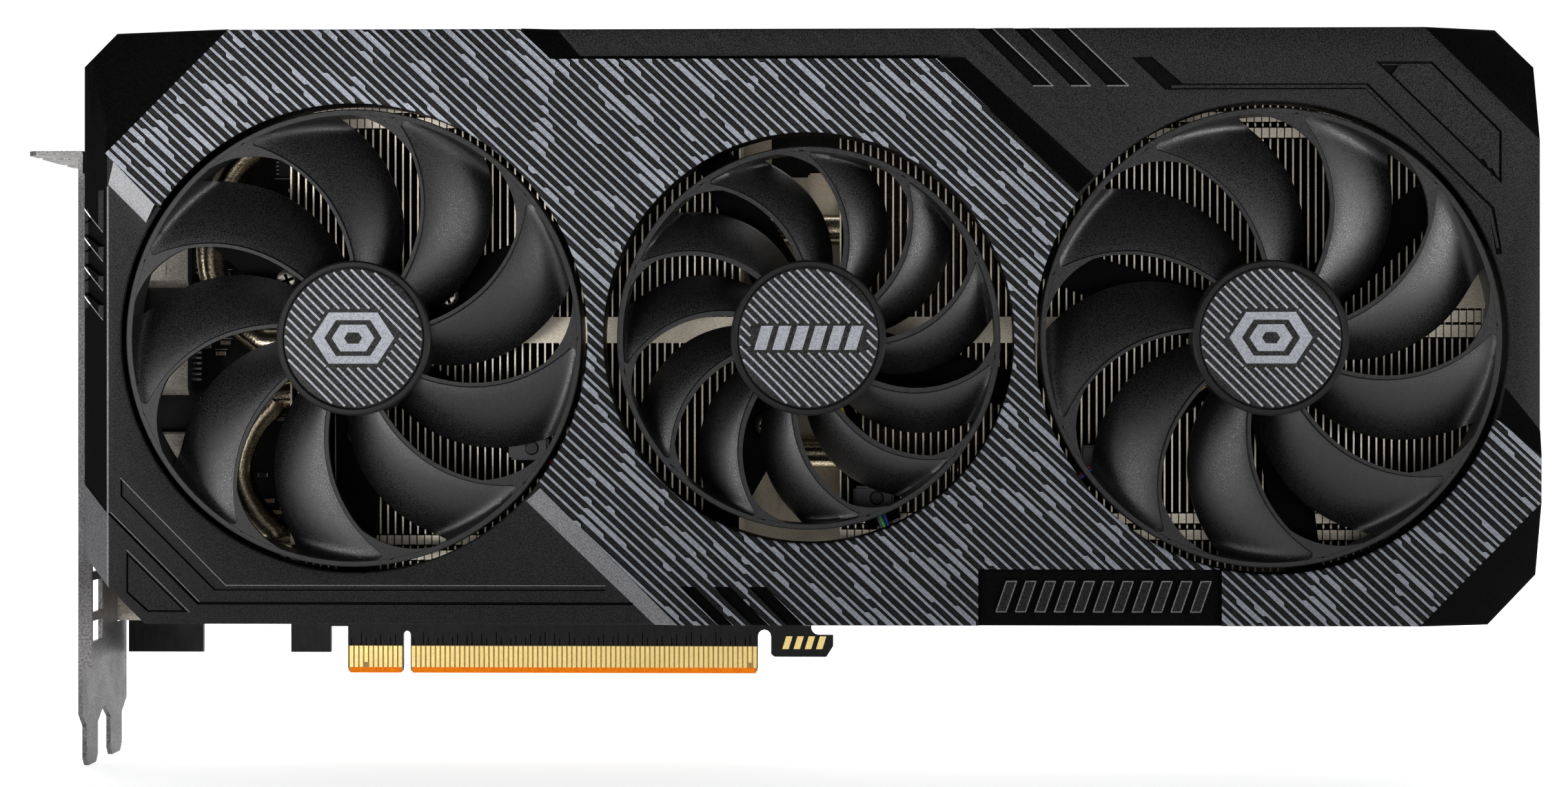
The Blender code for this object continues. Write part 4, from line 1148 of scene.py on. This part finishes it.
def build_fins(name, left, count):
    """Thin fins with folded tabs that lock each one to the next along the top and the bottom."""
    sheet = Sheet()

    def brick(x, y, z, look):
        corners = [(x[i], y[j], z[k]) for k in (0, 1) for i, j in ((0, 0), (1, 0), (1, 1), (0, 1))]
        sheet.add(corners, BOX_FACES, look)

    lower, upper = TAB_ROWS[name]
    for index in range(count):
        x = left + FIN_PITCH * index
        last = index == count - 1
        rows = lower + (MIDDLE_TABS if name == "fin_stack_right" and x > 160.0 else ()) + upper
        fin, depth = (x + 0.05, x + 0.35), (FIN_FRONT, FIN_BACK)
        # the inner fins' faces carry painted shade; the first and last fins use the plate metal
        brick(fin, depth, (FIN_LOW + 0.2, FIN_HIGH - 0.2), "plate" if last or index == 0 else "fins")
        brick(fin, depth, (FIN_HIGH - 0.2, FIN_HIGH), "fin_edge")
        brick(fin, depth, (FIN_LOW, FIN_LOW + 0.2), "fin_edge")
        marks = [FIN_LOW] + [z for row in rows for z in row] + [FIN_HIGH]
        for low, high in zip(marks[::2], marks[1::2]):
            brick((x + 0.03, x + 0.35), (FIN_FRONT - 0.2, FIN_FRONT), (low + 0.3, high - 0.3), "fin_edge")
        if last:
            continue
        for low, high in rows:
            brick((x + 0.1, x + 1.34), (FIN_FRONT - 0.18, FIN_FRONT + 0.1), (low, high), "fin_edge")
            brick((x + 0.35, x + 1.45), (FIN_FRONT + 0.1, FIN_FRONT + 1.6), (low, low + 0.3), "fins")
        brick((x + 0.3, x + FIN_PITCH), (FIN_BACK - 0.2, FIN_BACK + 0.05), (FIN_LOW, FIN_HIGH), "fins")
    sheet.piece(name + "_fins", "card", (name,), 30.0)


def build_cooler():
    """Fins, heat pipes, the bar across the stacks, and small plates and a screw between them."""
    build_fins("fin_stack_left", -55.3, 61)
    build_fins("fin_stack_right", 52.6, 86)
    for index, corners in enumerate(PIPES, 1):
        path = smooth_path([(x, PIPE_Y, z) for x, z in corners], 2.0)
        pipe = tube(f"heat_pipe_{index}_skin", path, PIPE_R, "pipe", "card", 8)
        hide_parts(f"heat_pipe_{index}")
    sheet = Sheet()
    sheet.block((-45.0, 110.0), (-31.1, -30.7), (67.1, 72.2), "plate", 0.12)
    sheet.piece("tie_bar_skin", "card", ("stack_tie_bar",))
    sheet = Sheet()
    sheet.block((171.2, 178.2), (-30.66, -30.42), (73.8, 85.0), "plate", 0.08)
    tabs = [((46.0, 51.9), (92.9, 101.8)), ((30.0, 38.6), (98.0, 110.0)), ((46.6, 52.2), (37.4, 49.4))]
    tabs += [((35.2, 40.0), (32.3, 44.8)), ((36.0, 51.0), (56.0, 64.0))]
    for across, up in tabs:
        sheet.block(across, (-7.6, -6.3), up, "plate", 0.4)
    sheet.piece("cooler_tabs", "card")
    sheet = Sheet()
    screw_head(sheet, 35.9, -12.0, 47.5, 1.5)
    sheet.looks = ["copper" if look == "screw" else look for look in sheet.looks]
    sheet.piece("cooler_screw", "card")


# --- Board ------------------------------------------------------------------------------------------


# left end, right end, number of contacts, x of the first one and index of the short one
CONTACT_ROWS = ((-48.4, -37.2, 11, -47.75, 3), (-35.5, 35.5, 71, -35.0, 69))
# y of the faces of ground, bare edge, gold and tracks, from the middle of the board
CONTACT_LAYERS = ((0.785, 0.81), (0.785, 0.83), (0.80, 0.85), (0.785, 0.80))


def build_contacts():
    """Gold contacts on both sides, the bare bevelled edge, and bars on the retention hook."""
    sheet = Sheet()
    for side in (-1.0, 1.0):
        ground, edge, gold, track = (sorted((side * low, side * high)) for low, high in CONTACT_LAYERS)
        for left, right, count, first, short in CONTACT_ROWS:
            sheet.block((left, right), ground, (0.35, 5.55), "fibre_dim")
            sheet.block((left + 0.3, right - 0.3), edge, (0.02, 1.15), "fibre")
            for index in range(count):
                x = first + index
                sheet.block((x - 0.34, x + 0.34), gold, (2.2 if index == short else 1.15, 5.5), "gold")
                if index % 3 != 1:
                    top = 7.0 + (index * 7 % 5) * 0.35
                    sheet.block((x - 0.1, x + 0.1), track, (5.5, top), "groove")
    for k in range(4):
        x = 40.6 + 2.3 * k
        relief = Relief(BOARD_FRONT + PRINT)
        relief.region(slanted(x, 5.0, 1.3, 0.8, 2.6), "gold", 0.0)
        relief.surface(sheet, lambda px, pz, look: (0.05, "gold"))
    sheet.piece("edge_contacts", "card")


def on_board(height):
    """The y range of something that stands this far out of the board's front face."""
    return (BOARD_FRONT - height, BOARD_FRONT)


def around(middle, width):
    return (middle - width / 2, middle + width / 2)


def small_part(sheet, x, z, length, width, height, look):
    """A chip part with a soldered cap at each end."""
    sheet.block(around(x, length), on_board(height), around(z, width), look, 0.08)
    for end in (x - length / 2 - 0.22, x + length / 2):
        sheet.block((end, end + 0.22), on_board(height + 0.02), around(z, width), "solder", 0.04)


def build_small_parts():
    """Chips, capacitors and plain white marks on the part of the board that shows through the left fan."""
    rng = random.Random(11)
    sheet = Sheet()
    taken = []
    for x, z in ((-60.5, 88.0), (-72.5, 52.5), (-61.5, 66.0), (-73.5, 32.0), (-60.0, 44.0), (-61.0, 104.0)):
        w, h = rng.choice(((5.0, 5.0), (4.0, 6.0), (3.2, 4.6)))
        sheet.block(around(x, w), on_board(1.1), around(z, h), "chip", 0.12)
        for k in range(int(h / 0.8)):
            spot = z - h / 2 + 0.55 + 0.8 * k
            for end in (x - w / 2 - 0.25, x + w / 2 + 0.25):
                sheet.block(around(end, 0.7), on_board(0.3), around(spot, 0.3), "solder")
        for low in (z - h / 2 - 0.5, z + h / 2 + 0.35):
            sheet.block(around(x, w + 1.8), on_board(-PRINT), (low, low + 0.15), "white")
        taken.append((x, z, 5.0))
    for _ in range(190):
        x, z = rng.uniform(-79.0, -52.0), rng.uniform(13.0, 115.0)
        if any(abs(x - a) < r and abs(z - b) < r for a, b, r in taken):
            continue
        taken.append((x, z, 1.5))
        small_part(sheet, x, z, 1.6, 0.8, 0.7, rng.choice(("ceramic", "chip", "ceramic")))
        if rng.random() < 0.35:
            sheet.block(around(x, 2.6), on_board(-PRINT), (z + 0.75, z + 0.87), "white")
    for x, z in ((-57.5, 17.0), (-65.0, 17.5), (-74.0, 113.0), (-56.0, 113.0)):
        can = [(0.0, -6.6), (1.9, -6.6), (2.3, -6.2), (2.3, -1.3), (2.5, -1.1)]
        can += [(2.5, BOARD_FRONT), (0.0, BOARD_FRONT)]
        sheet.lathe(can, x, z, 32, "solder", closed=False)
    sheet.piece("small_parts", "card")


def build_socket_details():
    """Folded seams and spring tabs on the display sockets' shells, and the contacts in their mouths."""
    sheet = Sheet()
    for z in (19.0, 41.4, 64.9, 86.8):
        for a, b in ((-5.6, -2.2), (1.8, 5.2)):
            sheet.block((-91.5, -84.5), (-7.55, -7.2), (z + a, z + b), "socket", 0.15)
        sheet.block((-94.8, -93.6), (-7.5, -7.1), around(z, 15.2), "socket", 0.15)
        sheet.block((-80.4, -79.6), (-6.6, -1.4), around(z, 14.4), "plastic", 0.3)
        sheet.block((-94.6, -88.0), (-4.6, -3.8), around(z, 11.2), "plastic", 0.2)
        for k in range(10):
            spot = z - 5.0 + 1.1 * k
            sheet.block((-94.4, -89.0), (-4.7, -4.55), (spot, spot + 0.5), "gold")
            sheet.block((-79.9, -78.6), on_board(0.4), (spot, spot + 0.45), "solder")
    sheet.piece("socket_details", "card")


# --- Backplate --------------------------------------------------------------------------------------

BACKPLATE = [(-84.0, 126.0), (178.0, 126.0), (184.6, 119.4), (184.6, 22.0), (176.0, 13.4), (-80.0, 13.4)]
BACKPLATE += [(-90.5, 24.0), (-90.5, 119.5)]
PLATE_BACK = 5.0  # y of the backplate's outer face
PLATE_T = 1.5
PLATE_SCREWS = ((-84.0, 24.0), (-84.0, 108.0), (142.0, 24.0), (142.0, 108.0))
WINDOW = rectangle(156.0, 178.0, 32.0, 106.0)
SPRING_SCREWS = ((-14.0, 44.0), (-14.0, 92.0), (42.0, 44.0), (42.0, 92.0))


def build_backplate():
    """Both faces of the backplate, its bosses, and the heads of its screws."""
    relief = Relief(PLATE_BACK, 1.0)
    relief.region(BACKPLATE, "backplate", 0.25)
    relief.region(inset(BACKPLATE, 3.0), "backplate", 0.0)
    striped = relief.region([(52.0, 123.0), (86.0, 123.0), (150.5, 62.0), (150.5, 29.0)], "ground", 0.12)
    low_line = [(-78.0, 112.0), (-60.0, 95.2), (-60.0, 40.0), (-40.0, 21.4), (110.0, 21.4)]
    for line in (low_line, [(-70.0, 118.0), (36.0, 118.0), (46.0, 108.6)]):
        relief.line(line, 0.9, "groove", 0.55)
    for k in range(5):
        x = -52.0 + 7.0 * k
        relief.region(slanted(x, 108.0, 3.4, 10.0, -9.4), "groove", 0.6)
    for x, z in PLATE_SCREWS:
        relief.region(circle(x, z, 3.6, 32), "groove", 0.7)
    for x, z in SPRING_SCREWS:
        relief.region(circle(x, z, 4.6, 36), "groove", 0.9)
    relief.region(WINDOW, None, 0.0)
    relief.guides.append(inset(BACKPLATE, 0.35))
    relief.fillet = lambda x, z: 0.4 * max(0.0, 1.0 - rim_distance(BACKPLATE, x, z) / 0.5) ** 2
    add_stripes(relief, striped, (112.0, 162.0), (-60.0, 100.0), 23, (0.28, 0.02))
    sheet = Sheet()
    relief.surface(sheet, lambda x, z, look: (PLATE_T, "backplate"))
    rear = Relief(PLATE_BACK, -1.0)
    rear.region(BACKPLATE, "backplate", -PLATE_T)
    rear.region(WINDOW, None, 0.0)
    rear.surface(sheet)
    for x, z in PLATE_SCREWS + SPRING_SCREWS:
        boss = [(2.6, PLATE_BACK - PLATE_T), (2.6, 1.1), (0.0, 1.1)]
        sheet.lathe(boss, x, z, 24, "backplate", closed=False)
    sheet.piece("backplate_skin", "card", ("backplate",))
    sheet = Sheet()
    for screws, radius in ((PLATE_SCREWS, 2.6), (SPRING_SCREWS, 3.0)):
        for x, z in screws:
            screw_head(sheet, x, PLATE_BACK - 0.02, z, radius, 1.0)
    sheet.piece("backplate_screws", "card")


# --- Everything -------------------------------------------------------------------------------------


def paint_cad():
    """Looks for the nodes that are shown as they come from the CAD."""
    looks = {
        "io_bracket": "steel", "bracket_screw_1": "screw", "bracket_screw_2": "screw",
        "circuit_board": "board", "gpu_package": "board", "gpu_die": "silicon", "cooler_base": "plate",
        "hdmi_socket": "socket", "power_socket": "plastic",
    }
    for k in (1, 2, 3):
        looks[f"display_socket_{k}"] = "socket"
    for k in (1, 2, 3, 4):
        looks[f"memory_chip_{k}"] = "chip"
    for name in FANS:
        looks.update({name + "_shaft": "screw", name + "_bearing": "copper", name + "_stator": "copper"})
        looks.update({name + "_fan_frame": "groove", name + "_fan_plug": "plastic"})
    for node, look in looks.items():
        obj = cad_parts[node]
        obj.data.materials.clear()
        obj.data.materials.append(MAT[look])


def area_light(name, spot, target, size, power, colour=(1.0, 1.0, 1.0)):
    light = bpy.data.lights.new(name, "AREA")
    light.shape = "RECTANGLE"
    light.size, light.size_y = size
    light.energy = power
    light.color = colour
    obj = place(name, light)
    obj.location = spot
    obj.rotation_euler = (Vector(target) - Vector(spot)).to_track_quat("-Z", "Y").to_euler()
    return obj


def build_studio():
    """A white floor, a background that is white to the camera and dim to the card, and seven soft lights."""
    floor_mesh = bpy.data.meshes.new("floor")
    half, level = 6.0, CAD_BOX[0][2] - 0.0002
    corners = [(-half, -half, level), (half, -half, level), (half, half, level), (-half, half, level)]
    floor_mesh.from_pydata(corners, [], [(0, 1, 2, 3)])
    floor = place("floor", floor_mesh)
    n = Nodes("studio_floor")
    cloud = n.noise(300.0, 2.0)
    colour = n.ramp(cloud, ((0.3, (0.80, 0.80, 0.80)), (0.7, (0.82, 0.82, 0.82))))
    far = n.add("VectorMath", {0: n.coords}, operation="LENGTH").outputs["Value"]
    n.put(n.shader.inputs["Emission Strength"], n.span(far, 0.78, 1.0, 0.3, 1.4))
    n.shader.inputs["Emission Color"].default_value = (1.0, 1.0, 1.0, 1.0)
    floor_mesh.materials.append(n.surface(colour=colour, rough=0.8, specular=0.1))

    world = bpy.data.worlds.new("studio")
    bpy.context.scene.world = world
    world.use_nodes = True
    tree = world.node_tree
    background = tree.nodes["Background"]
    path = tree.nodes.new("ShaderNodeLightPath")
    mix = tree.nodes.new("ShaderNodeMixShader")
    white = tree.nodes.new("ShaderNodeBackground")
    white.inputs["Color"].default_value = (1.0, 1.0, 1.0, 1.0)
    white.inputs["Strength"].default_value = 1.05
    background.inputs["Color"].default_value = (0.85, 0.88, 0.92, 1.0)
    background.inputs["Strength"].default_value = 0.10
    tree.links.new(path.outputs["Is Camera Ray"], mix.inputs["Fac"])
    tree.links.new(background.outputs[0], mix.inputs[1])
    tree.links.new(white.outputs[0], mix.inputs[2])
    tree.links.new(mix.outputs[0], tree.nodes["World Output"].inputs["Surface"])

    middle = (0.045, 0.0, 0.06)
    area_light("front_soft", (0.06, -1.6, 0.35), middle, (1.6, 1.0), 0.8)
    area_light("left_strip", (-1.1, -0.95, 0.11), middle, (0.30, 0.24), 3.2)
    area_light("right_strip", (1.25, -0.9, 0.11), middle, (0.30, 0.24), 4.4)
    for name, x, power in (("left_table", -0.46, 20.0), ("right_table", 0.76, 30.0)):
        table = area_light(name, (x, -0.52, CAD_BOX[0][2] + 0.004), (x, -0.52, 1.0), (0.6, 0.7), power)
        table.visible_camera = False
    area_light("top_soft", (0.1, 0.75, 1.4), middle, (2.4, 1.2), 20.0)
    area_light("back_soft", (0.2, 1.6, 0.7), middle, (1.6, 1.0), 14.0)


def build_camera():
    """Looks at the middle of the front from slightly to the right of straight on."""
    turn = math.radians(1.51)
    reach = 0.695  # metres
    camera = bpy.data.cameras.new("camera")
    camera.lens = 77.98
    camera.sensor_width = 36.0
    camera.clip_start = 0.01
    obj = place("camera", camera)
    aim = Vector((0.040928, 0.0, 0.057220))
    way = Vector((-math.sin(turn), math.cos(turn), 0.0))
    obj.location = aim - way * reach
    obj.rotation_euler = way.to_track_quat("-Z", "Y").to_euler()
    bpy.context.scene.camera = obj


build_camera()
build_studio()
build_shroud()
for fan_name, (fan_x, fan_opening, fan_ring, fan_blades, fan_first, fan_arms, fan_wire_arm) in FANS.items():
    build_rotor(fan_name, fan_x, fan_ring, fan_blades, fan_first)
    build_cap(fan_name, fan_x)
    build_frame_details(fan_name, fan_x, fan_opening, fan_arms, fan_wire_arm)
    build_wires(fan_name)
build_cooler()
build_contacts()
build_small_parts()
build_socket_details()
build_backplate()
paint_cad()
bpy.context.scene.view_settings.view_transform = "Standard"
